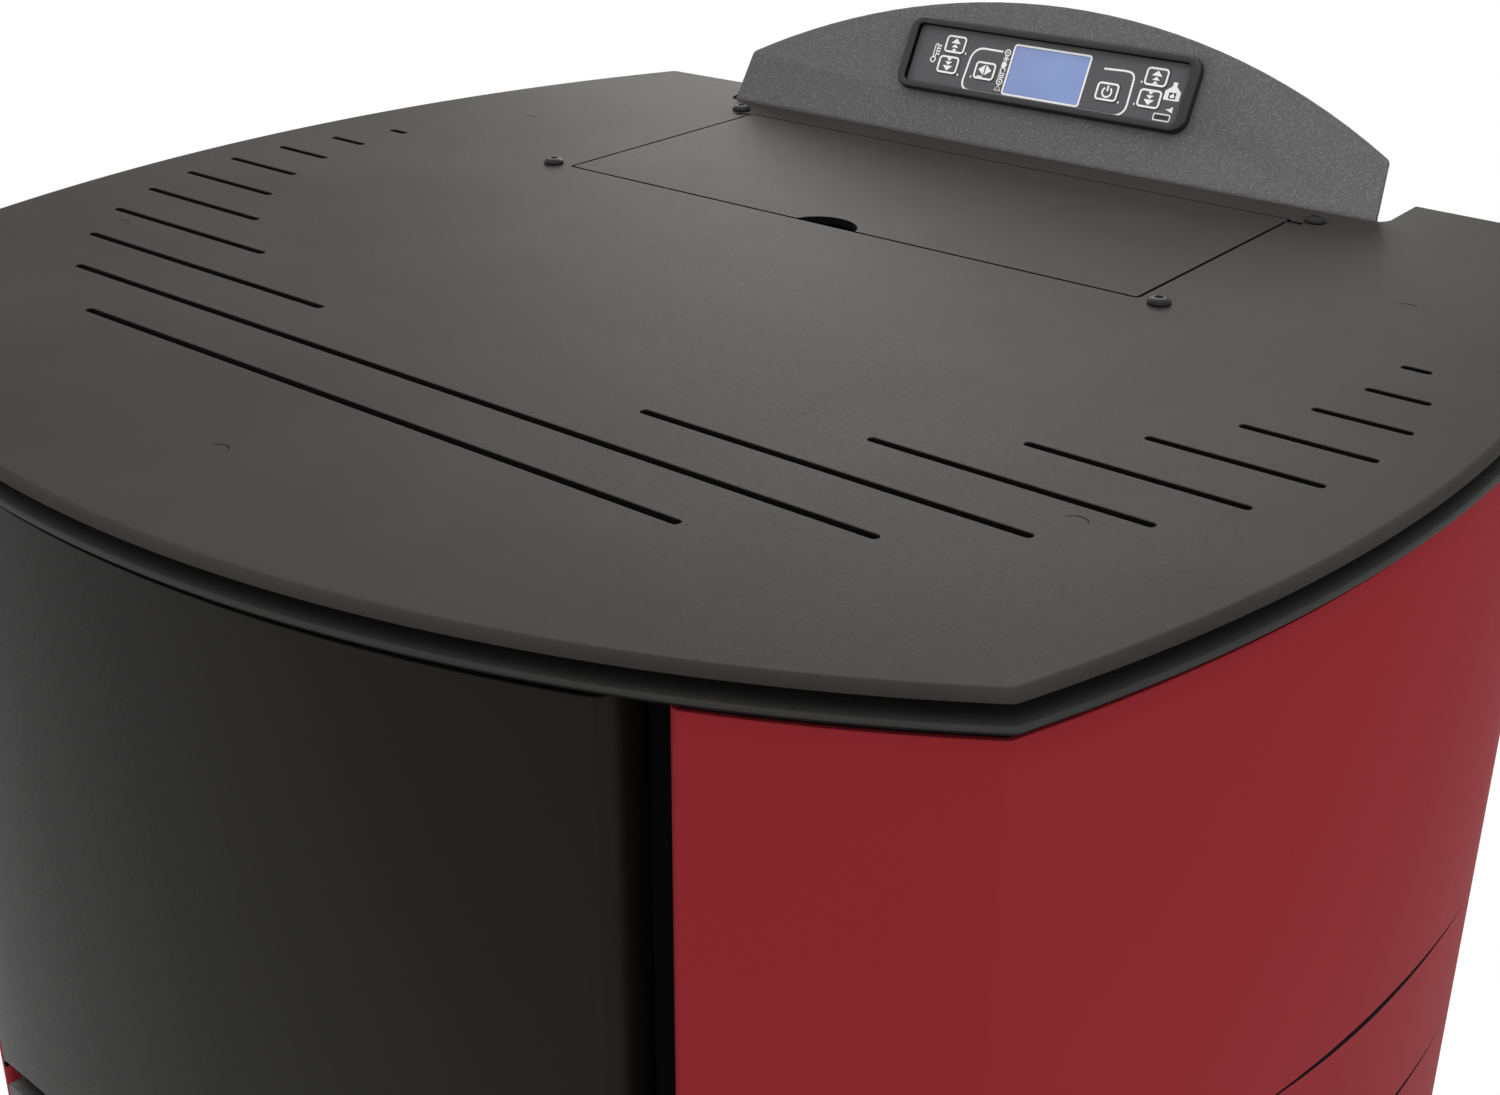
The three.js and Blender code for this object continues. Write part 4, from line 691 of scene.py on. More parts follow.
def finished(name: str, mesh: bpy.types.Mesh, finish: Finish, body: Body) -> bpy.types.Object:
    """Makes a piece of a mesh, gives it its finish and lets it ride on its body.

    Args:
        name: The piece's name.
        mesh: Its mesh.
        finish: Its finish.
        body: The body that it moves with.

    Returns:
        The piece.
    """
    piece = in_scene(name, mesh)
    mesh.materials.clear()
    mesh.materials.append(finish.material())
    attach(piece, body.value)
    LOG.info("%s: %s, %d faces", name, finish.name, len(mesh.polygons))
    return piece


def dressed(node: str, mesh: bpy.types.Mesh, finish: Finish, body: Body) -> bpy.types.Object:
    """Makes a piece that stands in for one of the frame's solids.

    Args:
        node: The solid's node.
        mesh: The piece's mesh.
        finish: Its finish.
        body: The body that it moves with.

    Returns:
        The piece.
    """
    piece = finished(f"{node}_dressed", mesh, finish, body)
    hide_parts(node)
    return piece


def repaint(mesh: bpy.types.Mesh, finish: Finish, faces: Iterable[int]) -> None:
    """Gives some of a mesh's faces a second finish.

    Args:
        mesh: The mesh.
        finish: The second finish.
        faces: The faces' numbers.
    """
    mesh.materials.append(finish.material())
    for number in faces:
        mesh.polygons[number].material_index = 1


def flat_shapes(name: str, plates: Iterable[Plate], low: float, high: float,
                place: Matrix) -> bpy.types.Mesh:
    """Makes thin plates of outlines with holes, drawn in one plane in millimetres.

    Args:
        name: The mesh's name.
        plates: For each plate, its outline and then its holes.
        low: The plates' lower level.
        high: Their upper level.
        place: Puts the plane's millimetres into the model's frame.

    Returns:
        The mesh.
    """
    whole = bmesh.new()
    for loops in plates:
        flat = bmesh.new()
        for loop in loops:
            verts = [flat.verts.new((x, y, low)) for x, y in loop]
            for i, v in enumerate(verts):
                flat.edges.new((v, verts[(i + 1) % len(verts)]))
        bmesh.ops.triangle_fill(flat, use_beauty=True, edges=flat.edges[:])
        for face in flat.faces:
            face.normal_update()
            if face.normal.z < 0:
                face.normal_flip()
        grown = bmesh.ops.extrude_face_region(flat, geom=flat.faces[:])
        moved = [v for v in grown["geom"] if isinstance(v, bmesh.types.BMVert)]
        bmesh.ops.translate(flat, vec=(0, 0, high - low), verts=moved)
        bmesh.ops.recalc_face_normals(flat, faces=flat.faces[:])
        part = made(flat, "part")
        whole.from_mesh(part)
        bpy.data.meshes.remove(part)
    whole.transform(place)
    return made(whole, name)


def turned_mesh(name: str, profile: Sequence[Point], sides: int, place: Matrix) -> bpy.types.Mesh:
    """Turns a profile about its upright axis into a closed mesh.

    Args:
        name: The mesh's name.
        profile: Radius and height pairs, in millimetres, from the axis to the axis.
        sides: How many sides the turning has.
        place: Puts the millimetres into the model's frame.

    Returns:
        The mesh, shaded smooth.
    """
    work = bmesh.new()
    verts = [work.verts.new((r, 0, z)) for r, z in profile]
    edges = [work.edges.new((a, b)) for a, b in zip(verts, verts[1:])]
    bmesh.ops.spin(work, geom=verts + edges, cent=(0, 0, 0), axis=(0, 0, 1), angle=2 * math.pi,
                   steps=sides, use_merge=True)
    bmesh.ops.remove_doubles(work, verts=work.verts[:], dist=1e-4)
    bmesh.ops.recalc_face_normals(work, faces=work.faces[:])
    for face in work.faces:
        face.smooth = True
    work.transform(place)
    return made(work, name)


def apply_modifiers(piece: bpy.types.Object) -> None:
    """Applies all of a piece's modifiers, in order.

    Args:
        piece: The piece.
    """
    with bpy.context.temp_override(object=piece, active_object=piece, selected_objects=[piece]):
        for name in [modifier.name for modifier in piece.modifiers]:
            bpy.ops.object.modifier_apply(modifier=name)


def mark_sharp(mesh: bpy.types.Mesh, sharp_deg: float) -> None:
    """Shades a mesh smooth, apart from the edges that bend more than an angle.

    Args:
        mesh: The mesh.
        sharp_deg: The least bend of a sharp edge, in degrees.
    """
    work = bmesh.new()
    work.from_mesh(mesh)
    for face in work.faces:
        face.smooth = True
    for edge in work.edges:
        edge.smooth = edge.calc_face_angle(0.0) < math.radians(sharp_deg)
    made(work, mesh)


def shade_round(piece: bpy.types.Object, axis: Vector, within_deg: float = 9.0) -> None:
    """Shades the faces of an upright round wall by the wall's exact direction.

    The wall's flat strips would show as faint streaks otherwise.

    Args:
        piece: The object, whose modifiers are applied first.
        axis: A point on the wall's upright axis.
        within_deg: How far a face may turn from the wall and still belong to it.
    """
    apply_modifiers(piece)
    mesh = piece.data
    normals = [Vector(corner.vector) for corner in mesh.corner_normals]
    for face in mesh.polygons:
        out = Vector((face.center.x - axis.x, face.center.y - axis.y, 0)).normalized()
        if face.normal.dot(out) < math.cos(math.radians(within_deg)):
            continue
        for number in face.loop_indices:
            at = mesh.vertices[mesh.loops[number].vertex_index].co
            normals[number] = Vector((at.x - axis.x, at.y - axis.y, 0)).normalized()
    mesh.normals_split_custom_set(normals)


@dataclass
class Shell:
    """A piece that keeps the shape of one of the frame's solids and rounds its edges.

    The solid's flat triangles are joined into whole faces first, so that only real edges are rounded.
    """

    node: str
    body: Body
    finish: Finish
    edge_mm: float = 0.4
    segments: int = 2
    sharp_deg: float = 32.0

    def mesh(self) -> bpy.types.Mesh:
        """Cleans a copy of the solid's mesh.

        Returns:
            The copy, in the model's frame.
        """
        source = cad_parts[self.node]
        work = opened(source.data)
        work.transform(source.matrix_world)
        bmesh.ops.dissolve_limit(work, angle_limit=math.radians(FLAT_DEG), verts=work.verts[:],
                                 edges=work.edges[:], delimit=set())
        bmesh.ops.dissolve_degenerate(work, dist=SLIVER_M, edges=work.edges[:])
        for face in work.faces:
            face.smooth = True
        return made(work, f"{self.node}_shell")

    def build(self) -> bpy.types.Object:
        """Builds the piece in place of its solid, with sharp edges when its rounding is nil.

        Returns:
            The piece.
        """
        piece = dressed(self.node, self.mesh(), self.finish, self.body)
        if self.edge_mm <= 0:
            mark_sharp(piece.data, self.sharp_deg)
            return piece
        bevel = piece.modifiers.new("rounded_edges", "BEVEL")
        bevel.width = self.edge_mm * MM
        bevel.segments = self.segments
        bevel.limit_method = "ANGLE"
        bevel.angle_limit = math.radians(self.sharp_deg)
        bevel.use_clamp_overlap = False
        bevel.miter_outer = "MITER_ARC"
        bevel.harden_normals = True
        return piece


# ---------------------------------------------------------------- plates cut from sheet


@dataclass
class Rim:
    """One outline of a plate, with smooth curves.

    Attributes:
        points: The outline's points, with the plate's material on the left.
        before: The way out of the material at each point, for the side that ends there.
        after: The same for the side that starts there.
    """

    points: list[Vector] = field(default_factory=list)
    before: list[Vector] = field(default_factory=list)
    after: list[Vector] = field(default_factory=list)

    def add(self, point: Vector, way_in: Vector, way_on: Vector) -> None:
        """Adds a point.

        Args:
            point: The point.
            way_in: The direction in which the outline reaches it.
            way_on: The direction in which it leaves it.
        """
        self.points.append(point)
        self.before.append(Vector((way_in.y, -way_in.x)))
        self.after.append(Vector((way_on.y, -way_on.x)))

    def moved(self, i: int, depth: float) -> Vector:
        """Returns where a point goes when the outline is set in by a depth."""
        a, b = self.before[i], self.after[i]
        return self.points[i] - (a + b) / (1 + a.dot(b)) * depth


def tangents_of(ways: Sequence[Vector], sharp_deg: float = 50.0,
                straight: float = 4.0) -> list[tuple[Vector, Vector]]:
    """Finds the directions in which a curve reaches and leaves each corner of a faceted outline.

    Args:
        ways: The outline's sides, each from its start to its end.
        sharp_deg: The least turn that stays a corner.
        straight: A side this many times as long as the next one is straight, and a curve starts there.

    Returns:
        For each corner, the direction in and the direction on.
    """
    tangents: list[tuple[Vector, Vector]] = []
    for i, b in enumerate(ways):
        a = ways[i - 1]
        if a.angle(b) > math.radians(sharp_deg):
            tangents.append((a.normalized(), b.normalized()))
            continue
        if a.length > straight * b.length:
            tangent = a.normalized()
        elif b.length > straight * a.length:
            tangent = b.normalized()
        else:
            tangent = (a.normalized() * b.length + b.normalized() * a.length).normalized()
        tangents.append((tangent, tangent))
    return tangents


def smooth_rim(corners: Sequence[Vector], error_mm: float = 0.006, most_steps: int = 8) -> Rim:
    """Redraws a faceted outline with smooth curves between its sharp corners.

    Args:
        corners: The outline's corners, in millimetres.
        error_mm: How far a new side may miss the curve.
        most_steps: The most sides that take the place of one.

    Returns:
        The outline.
    """
    count = len(corners)
    ways = [corners[(i + 1) % count] - corners[i] for i in range(count)]
    tangents = tangents_of(ways)
    rim = Rim()
    for i in range(count):
        start, end, chord = corners[i], corners[(i + 1) % count], ways[i].length
        t0, t1 = tangents[i][1], tangents[(i + 1) % count][0]
        wanted = math.ceil(math.sqrt(chord * t0.angle(t1, 0.0) / 8 / error_mm))
        steps = max(1, min(most_steps, wanted))
        rim.add(start, *tangents[i])
        for t in (k / steps for k in range(1, steps)):
            place = (start * (2 * t ** 3 - 3 * t ** 2 + 1) + t0 * chord * (t ** 3 - 2 * t ** 2 + t)
                     + end * (3 * t ** 2 - 2 * t ** 3) + t1 * chord * (t ** 3 - t ** 2))
            way = (t0 * (1 - t) + t1 * t).normalized()
            rim.add(place, way, way)
    return rim


@dataclass
class CutSheet:
    """A flat plate drawn from the outlines of one of the frame's solids, with smooth curves.

    The upper edge is rounded as much as the tool or the press leaves it, and its shading is exact.
    """

    node: str
    body: Body
    finish: Finish
    edge_mm: float = 0.35
    steps: int = 3
    rim_mm: float = 0.0
    on_rim: Callable[[Vector], bool] | None = None
    # A matt black for the lower chamfer and the walls of holes: painted shade.
    wall_shade_finish: Finish | None = None
    lower_mm: float = 0.25
    shrink_mm: float = 0.0
    drop_mm: float = 0.0

    def outlines(self) -> tuple[list[Rim], float, float]:
        """Reads the outlines of the solid's upper face.

        Returns:
            The outlines with the longest first, and the lower and upper level in millimetres.
        """
        work = opened(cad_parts[self.node].data)
        top = max(v.co.z for v in work.verts)
        low = min(v.co.z for v in work.verts)
        flat = {f for f in work.faces if all(abs(v.co.z - top) < SAME_LEVEL_M for v in f.verts)}
        following = {c.vert: c.link_loop_next.vert for f in flat for c in f.loops
                     if any(g not in flat for g in c.edge.link_faces)}
        rims: list[Rim] = []
        while following:
            start, vert = following.popitem()
            corners = [start.co.xy / MM]
            while vert is not start:
                corners.append(vert.co.xy / MM)
                vert = following.pop(vert)
            rims.append(smooth_rim(corners))
        work.free()
        rims.sort(key=lambda rim: -max(p.length for p in rim.points))
        return rims, low / MM, top / MM - self.drop_mm

    def rounding(self, rim: Rim) -> list[float]:
        """Gives each point of an outline the rounding of the edge above it, in millimetres.

        Args:
            rim: The outline.

        Returns:
            The roundings.
        """
        full = [self.rim_mm if self.on_rim and self.on_rim(p) else self.edge_mm for p in rim.points]
        return [min(full[i - 1], full[i], full[(i + 1) % len(full)]) for i in range(len(full))]

    def build(self) -> bpy.types.Object:
        """Builds the plate in place of its solid.

        Returns:
            The piece.
        """
        rims, low, top = self.outlines()
        verts: list[Place] = []
        faces: list[tuple[int, ...]] = []
        normals: list[Vector] = []
        shaded_walls: list[int] = []
        ends: tuple[list[list[int]], list[list[int]]] = ([], [])
        for number, rim in enumerate(rims):
            rings = self.rings(rim, low, top, verts)
            ends[0].append(rings[0])
            ends[1].append(rings[-1])
            for k, (under, over) in enumerate(zip(rings, rings[1:])):
                low_rise, high_rise = self.rises(k)
                for i in range(len(rim.points)):
                    j = (i + 1) % len(rim.points)
                    faces.append((under[i], under[j], over[j], over[i]))
                    for at, rise in ((rim.after[i], low_rise), (rim.before[j], low_rise),
                                     (rim.before[j], high_rise), (rim.after[i], high_rise)):
                        level = math.cos(rise)
                        normals.append(Vector((at.x * level, at.y * level, math.sin(rise))))
                    # Painted shade: the lower chamfer, and the walls of the holes or of a shrunk plate, get
                    # the second finish.
                    if k == 0 or (k < 3 and (number or self.shrink_mm)):
                        shaded_walls.append(len(faces) - 1)
        for rings, up in zip(ends, (-1.0, 1.0)):
            order = [v for ring in rings for v in ring]
            for tri in tessellate_polygon([[Vector(verts[v]) for v in ring] for ring in rings]):
                a, b, c = (order[t] for t in tri)
                turn = (Vector(verts[b]) - Vector(verts[a])).cross(Vector(verts[c]) - Vector(verts[a])).z
                faces.append((a, b, c) if turn * up > 0 else (a, c, b))
                normals += [Vector((0, 0, up))] * 3
        mesh = bpy.data.meshes.new(f"{self.node}_sheet")
        mesh.from_pydata(verts, [], faces)
        piece = dressed(self.node, mesh, self.finish, self.body)
        if self.wall_shade_finish:
            repaint(mesh, self.wall_shade_finish, shaded_walls)
        mesh.shade_smooth()
        mesh.normals_split_custom_set(normals)
        return piece

    def rises(self, k: int) -> Point:
        """Returns how far the surface faces up at both ends of one strip of the edge.

        Args:
            k: The strip, counted from the bottom: the lower chamfer, the wall, and then the rounding.

        Returns:
            Two angles above level, in radians.
        """
        if k == 0:
            return (-math.pi / 4, -math.pi / 4)
        if k == 1:
            return (0.0, 0.0)
        return ((k - 2) * math.pi / 2 / self.steps, (k - 1) * math.pi / 2 / self.steps)

    def rings(self, rim: Rim, low: float, top: float, verts: list[Place]) -> list[list[int]]:
        """Adds the points of one outline's edge, from its lower to its upper side.

        Args:
            rim: The outline.
            low: The plate's lower level.
            top: Its upper level.
            verts: The plate's points so far, in metres.

        Returns:
            For each ring, the numbers of its points.
        """
        roundings = self.rounding(rim)
        levels: list[Callable[[float], Point]] = [
            lambda r: (self.lower_mm, low), lambda r: (0.0, low + self.lower_mm),
        ]
        for a in (k * math.pi / 2 / self.steps for k in range(self.steps + 1)):
            levels.append(lambda r, a=a: (r * (1 - math.cos(a)), top - r + r * math.sin(a)))
        rings = []
        for level in levels:
            rings.append(list(range(len(verts), len(verts) + len(rim.points))))
            for i, rounding in enumerate(roundings):
                inset, z = level(rounding)
                place = rim.moved(i, inset + self.shrink_mm)
                verts.append((place.x * MM, place.y * MM, z * MM))
        return rings


# ---------------------------------------------------------------- assemblies


@dataclass
class SlottedTop:
    """The slotted top plate, the joint under it, the ring below, and the lid with its screws."""

    edge_radius: float = 2.9
    outline_margin: float = 1.5
    corner: Point = (225.0, -180.0)
    screw_places: tuple[Point, ...] = ((-157, 118), (157, 118), (157, 256.2), (-157, 256.2))
    screw_radius: float = 4.6
    screw_height: float = 2.6
    screw_shank: Point = (2.4, -13.5)
    socket_radius: float = 1.7
    socket_depth: float = 1.1
    weld_places: tuple[Point, ...] = (
        (-229.6, 173.6), (229.6, 173.6), (-229.6, -68.0), (229.6, -68.0), (0.0, -190.7),
    )
    pivot: Place = (147.0, 249.6, 1048.25)
    pivot_profile: tuple[Point, ...] = ((0, -6), (1.5, -6), (1.5, 5.4), (1.1, 6), (0, 6))
    strip_setback: float = 2.3
    strip_thickness: float = 2.0
    strip_overlap: float = 5.0
    side_joint_span: Point = (174.0, 195.5)

    def on_outline(self, p: Vector) -> bool:
        """Tells whether a point is on the plate's outer outline.

        Args:
            p: The point in the model's plan, in millimetres.

        Returns:
            Whether it is.
        """
        x, y, margin = abs(p.x), p.y - SHIFT_Y / MM, self.outline_margin
        front = math.hypot(x, y - FRONT_CENTRE_Y) > FRONT_RADIUS_MM - margin and y < 0
        side = math.hypot(x - SIDE_CENTRE[0], y - SIDE_CENTRE[1]) > SIDE_RADIUS_MM - margin
        corner = x > self.corner[0] and y < self.corner[1]
        return front or side or y > BACK_EDGE_MM - margin or corner

    def build(self) -> None:
        """Builds the top's pieces."""
        # The walls of the slots and of the lid's gap, the recess frame and the ring's wide lower chamfer
        # are matt black: painted shade, and a painted shadow line under the ring.
        CutSheet("top_plate", Body.CASING, TOP_COAT, 0.35, 5, self.edge_radius, self.on_outline,
                 SHADE_BLACK).build()
        CutSheet("recess_frame", Body.CASING, SHADE_BLACK, 0.3).build()
        CutSheet("rim_ring", Body.CASING, RIM_SHADED_COAT, 1.3, 4, wall_shade_finish=SHADE_BLACK, lower_mm=1.6).build()
        CutSheet("hopper_lid", Body.LID, TOP_COAT, 0.2, 3, wall_shade_finish=SHADE_BLACK, shrink_mm=0.4).build()
        self.joint_strip()
        self.pivots()
        for number, (x, y) in enumerate(self.screw_places, 1):
            self.screw(number, x, y)
        self.weld_marks()

    def joint_strip(self) -> None:
        """Builds a matt black strip behind the joint between the ring and the panels: painted shade that
        keeps the gap dark.
        """
        rims, ring_bottom, _ = CutSheet("rim_ring", Body.CASING, RIM_SHADED_COAT).outlines()
        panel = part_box("side_panel_right")[1]
        behind = (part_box("rim_ring")[1][0] - panel[0]) / MM + self.strip_setback
        outer, inner = ([tuple(rims[0].moved(i, depth)) for i in range(len(rims[0].points))]
                        for depth in (behind, behind + self.strip_thickness))
        mesh = flat_shapes("ring_joint_strip_mesh", [[outer, inner[::-1]]],
                           panel[2] / MM - self.strip_overlap, ring_bottom, seat(Vector()))
        self.open_side_joints(mesh)
        finished("ring_joint_strip", mesh, SHADE_BLACK, Body.CASING)

    def open_side_joints(self, mesh: bpy.types.Mesh) -> None:
        """Takes the strip away where the joints beside the front panels run up to the ring.

        Args:
            mesh: The strip's mesh.
        """
        near, far = self.side_joint_span
        work = bmesh.new()
        work.from_mesh(mesh)
        for x in (-far, -near, near, far):
            bmesh.ops.bisect_plane(work, geom=work.verts[:] + work.edges[:] + work.faces[:], dist=1e-6,
                                   plane_co=(x * MM, 0, 0), plane_no=(1, 0, 0))
        middles = {face: face.calc_center_median() for face in work.faces}
        doomed = [face for face, at in middles.items() if near < abs(at.x) / MM < far and at.y < 0]
        bmesh.ops.delete(work, geom=doomed, context="FACES")
        bmesh.ops.holes_fill(work, edges=[e for e in work.edges if e.is_boundary])
        made(work, mesh)

    def pivots(self) -> None:
        """Builds the two pins that the lid turns on."""
        x, y, z = self.pivot
        for side, name in ((-1, "lid_pivot_left"), (1, "lid_pivot_right")):
            place = seat(spot(side * x, y, z), Matrix.Rotation(side * math.pi / 2, 4, "Y"))
            mesh = turned_mesh(f"{name}_mesh", self.pivot_profile, 16, place)
            finished(name, mesh, BLACK_OXIDE, Body.LID)

    def screw(self, number: int, x: float, y: float) -> None:
        """Builds one button-head screw with a round socket.

        Args:
            number: Which screw it is.
            x: Its place across.
            y: Its place back.
        """
        brim, lift = 0.25, 0.3
        r, dome_height = self.screw_radius, self.screw_height - brim
        angles = [i * math.pi / 16 for i in range(6)]
        dome = [(r * math.cos(a), brim + dome_height * math.sin(a)) for a in angles]
        flat, socket = dome[-1][1], self.socket_radius
        shank, tip = self.screw_shank
        profile = [(0, tip), (shank, tip), (shank, 0), (r, 0), *dome, (socket, flat + 0.12),
                   (socket, flat - self.socket_depth), (0, flat - self.socket_depth)]
        mesh = turned_mesh(f"top_screw_{number}_mesh", profile, 36, seat(spot(x, y, TOP_MM + lift)))
        piece = dressed(f"top_screw_{number}", mesh, BLACK_OXIDE, Body.CASING)
        piece.modifiers.new("face_weighted_shading", "WEIGHTED_NORMAL")

    def weld_marks(self) -> None:
        """Builds small black crescents where the plate's studs were welded underneath: painted shade on the
        edges of the weld dimples.
        """
        outer = arc(0, 0, 4.2, math.radians(25), math.radians(155))
        inner = arc(0, -0.7, 4.25, math.radians(150), math.radians(30))
        for number, (x, y) in enumerate(self.weld_places, 1):
            place = seat(spot(x, y, TOP_MM))
            mesh = flat_shapes(f"weld_mark_{number}_mesh", [[outer + inner]], -0.2, 0.05, place)
            finished(f"weld_mark_{number}", mesh, SHADE_BLACK, Body.CASING)


@dataclass
class KeyPanel:
    """The leaning key panel with its bezel, keypad, display and printed symbols.

    Places are millimetres across from the panel's middle and up from its foot.
    """

    foot_y: float = 275.0
    lean_deg: float = 27.0
    film: float = 0.6
    key_face: float = 1.1
    ink: float = 0.06
    ink_sink: float = 0.05
    line: float = 0.95
    keys: dict[Body, Point] = field(default_factory=lambda: {
        Body.KEY_LEFT_UP: (-52.7, 46.0), Body.KEY_LEFT_DOWN: (-53.7, 35.6), Body.KEY_MENU: (-32.3, 35.5),
        Body.KEY_POWER: (35.1, 35.2), Body.KEY_RIGHT_UP: (57.6, 45.6), Body.KEY_RIGHT_DOWN: (57.1, 35.2),
    })
    key_width: float = 11.2
    key_height: float = 8.4
    hole_fit: Point = (0.9, 1.9)
    pad_fit: Point = (0.3, 1.7)
    print_fit: Point = (-0.6, 1.5)
    pad_edge: float = 0.3
    bezel_outer: tuple[float, ...] = (-0.3, 39.1, 159.0, 36.4, 7.5)
    bezel_crown: tuple[float, ...] = (-0.3, 39.1, 156.2, 34.0, 6.3)
    bezel_inner: tuple[float, ...] = (-0.5, 39.2, 149.2, 29.0, 2.4)
    film_box: tuple[float, ...] = (0.2, 39.2, 150.4, 29.2, 2.2)
    window_box: tuple[float, ...] = (1.0, 38.3, 41.4, 24.0, 1.0)
    window_line: tuple[float, ...] = (1.1, 38.3, 41.8, 24.4, 1.2)
    scoop_tray: tuple[float, ...] = (65.5, 27.7, 8.2, 3.0, 0.6)
    bracket: tuple[Point, ...] = (
        (-25.6, 46.2), (-38.8, 46.3), (-42.4, 42.8), (-43.3, 27.4), (-40.3, 24.9),
        (43.5, 24.9), (46.9, 28.2), (46.4, 44.8), (43.3, 46.3), (30.0, 45.8),
    )
    house: tuple[Point, ...] = (
        (63.6, 36.0), (71.5, 36.0), (71.5, 40.2), (68.7, 42.6), (68.7, 44.6), (66.6, 44.6), (66.6, 42.6),
        (63.6, 40.2),
    )
    scoop: tuple[Point, ...] = ((66.2, 31.7), (68.0, 32.0), (69.7, 33.3), (70.0, 30.3), (68.2, 31.0))
    flame: tuple[Point, ...] = (
        (66.8, 37.2), (68.5, 37.2), (68.9, 38.0), (68.2, 38.9), (67.9, 39.5), (67.3, 38.8), (66.4, 38.1),
    )
    dots: tuple[Point, ...] = (
        (-46.0, 42.4), (-47.0, 31.6), (-39.4, 31.8), (42.0, 31.2), (50.6, 42.4), (50.1, 31.8),
    )

    def flat(self, name: str, plates: Iterable[Plate], low: float, high: float) -> bpy.types.Mesh:
        """Returns plates that lie parallel to the panel, between two levels above it."""
        return flat_shapes(f"{name}_mesh", plates, low, high, self.plane())

    def plane(self) -> Matrix:
        """Returns the matrix that puts the panel's own millimetres into the model's frame."""
        turn = Matrix.Rotation(math.pi / 2 - math.radians(self.lean_deg), 4, "X")
        return seat(spot(0, self.foot_y, TOP_MM), turn)

    def key_box(self, place: Point, fit: Point) -> Outline:
        """Returns a key's outline, for how much it is grown and its corners' radius."""
        return round_box(*place, self.key_width + fit[0], self.key_height + fit[0], fit[1])

    def build(self) -> None:
        """Builds the key panel's pieces."""
        Shell("console_panel", Body.CASING, KEY_PANEL_COAT, 0.5).build()
        Shell("console_back_cover", Body.CASING, FRONT_COAT, 0.5).build()
        Shell("keypad_board", Body.CASING, BOARD_GREEN, 0.0).build()
        Shell("lcd_display", Body.CASING, DISPLAY, 0.15).build()
        self.bezel()
        self.overlay()
        for body, place in self.keys.items():
            self.key(body, place)
        self.film_print()

    def bezel(self) -> None:
        """Builds the moulded frame around the keypad: rounded outside, with a steep inner wall painted
        black as painted shade.
        """
        boxes = (self.bezel_outer, self.bezel_crown, self.bezel_inner)
        outer, crown, inner = (round_box(*box) for box in boxes)
        foot, shoulder, top, wall = 0.1, 1.8, 4.0, 3.6
        rings = [(outer, foot), (outer, shoulder)]
        for a in (k * math.pi / 10 for k in range(1, 6)):
            rings.append((blend(outer, crown, 1 - math.cos(a)), shoulder + (top - shoulder) * math.sin(a)))
        rings += [(blend(inner, crown, 0.3), top), (inner, wall), (inner, foot)]
        count = len(outer)
        faces = []
        for a in range(len(rings)):
            b = (a + 1) % len(rings)
            for i in range(count):
                j = (i + 1) % count
                faces.append((a * count + i, a * count + j, b * count + j, b * count + i))
        mesh = bpy.data.meshes.new("keypad_bezel_mesh")
        mesh.from_pydata([(x, y, z) for line, z in rings for x, y in line], [], faces)
        mesh.transform(self.plane())
        dressed("keypad_bezel", mesh, BLACK_MOULDING, Body.CASING)
        # Painted shade: the steep inner wall takes the matt black.
        wall_strip = len(rings) - 2
        repaint(mesh, SHADE_BLACK, range(wall_strip * count, (wall_strip + 1) * count))
        mark_sharp(mesh, 40)

    def overlay(self) -> None:
        """Builds the printed film that fills the bezel, with windows for the keys and the display."""
        holes = [self.key_box(place, self.hole_fit)[::-1] for place in self.keys.values()]
        plate = [round_box(*self.film_box), round_box(*self.window_box)[::-1], *holes]
        mesh = self.flat("keypad_film", [plate], 0.02, self.film)
        dressed("keypad_plate", mesh, KEYPAD_FILM, Body.CASING)

    def key(self, body: Body, place: Point) -> None:
        """Builds one key with its printed outline and symbol.

        Args:
            body: The key's body.
            place: Its middle.
        """
        pad = self.flat(f"{body.value}_pad", [[self.key_box(place, self.pad_fit)]], -1.2, self.key_face)
        piece = dressed(body.value, pad, KEYPAD_FILM, body)
        bevel = piece.modifiers.new("rounded_edges", "BEVEL")
        bevel.width = self.pad_edge * MM
        bevel.segments = 3
        bevel.angle_limit = math.radians(50)
        border = ribbon(self.key_box(place, self.print_fit), self.line, closed=True)
        shapes = [border] + [[shape] for shape in self.symbol(body, *place)]
        face = self.key_face
        mesh = self.flat(f"{body.value}_print", shapes, face - self.ink_sink, face + self.ink)
        finished(f"{body.value}_print", mesh, WHITE_INK, body)

    def symbol(self, body: Body, x: float, s: float) -> list[Outline]:
        """Draws the symbol of one key.

        Args:
            body: The key's body.
            x: The key's middle across.
            s: Its middle up the panel.

        Returns:
            The symbol's outlines.
        """
        if body is Body.KEY_POWER:
            gap = math.radians(38)
            ring = arc(x, s - 0.2, 2.35, math.pi / 2 + gap, 2.5 * math.pi - gap)
            return ribbon(ring, 0.85) + ribbon([(x, s + 0.2), (x, s + 3.0)], 0.85)
        if body is Body.KEY_MENU:
            left = [(x - 0.35, s + 3.0), (x - 3.7, s + 0.4), (x - 0.35, s - 2.2)]
            right = [(x + 0.35, s - 2.2), (x + 3.7, s + 0.4), (x + 0.35, s + 3.0)]
            return [left, right] + ribbon([(x - 3.6, s - 3.0), (x - 0.6, s - 3.0)], 0.6)
        way = 1 if body in (Body.KEY_LEFT_UP, Body.KEY_RIGHT_UP) else -1
        shapes: list[Outline] = []
        for level, half, tall in ((0.45, 2.7, 2.6), (-1.6, 1.95, 1.75), (-3.3, 1.45, 1.4)):
            base = s + way * level
            shapes.append([(x - half, base), (x + half, base), (x, base + way * tall)])
        return shapes

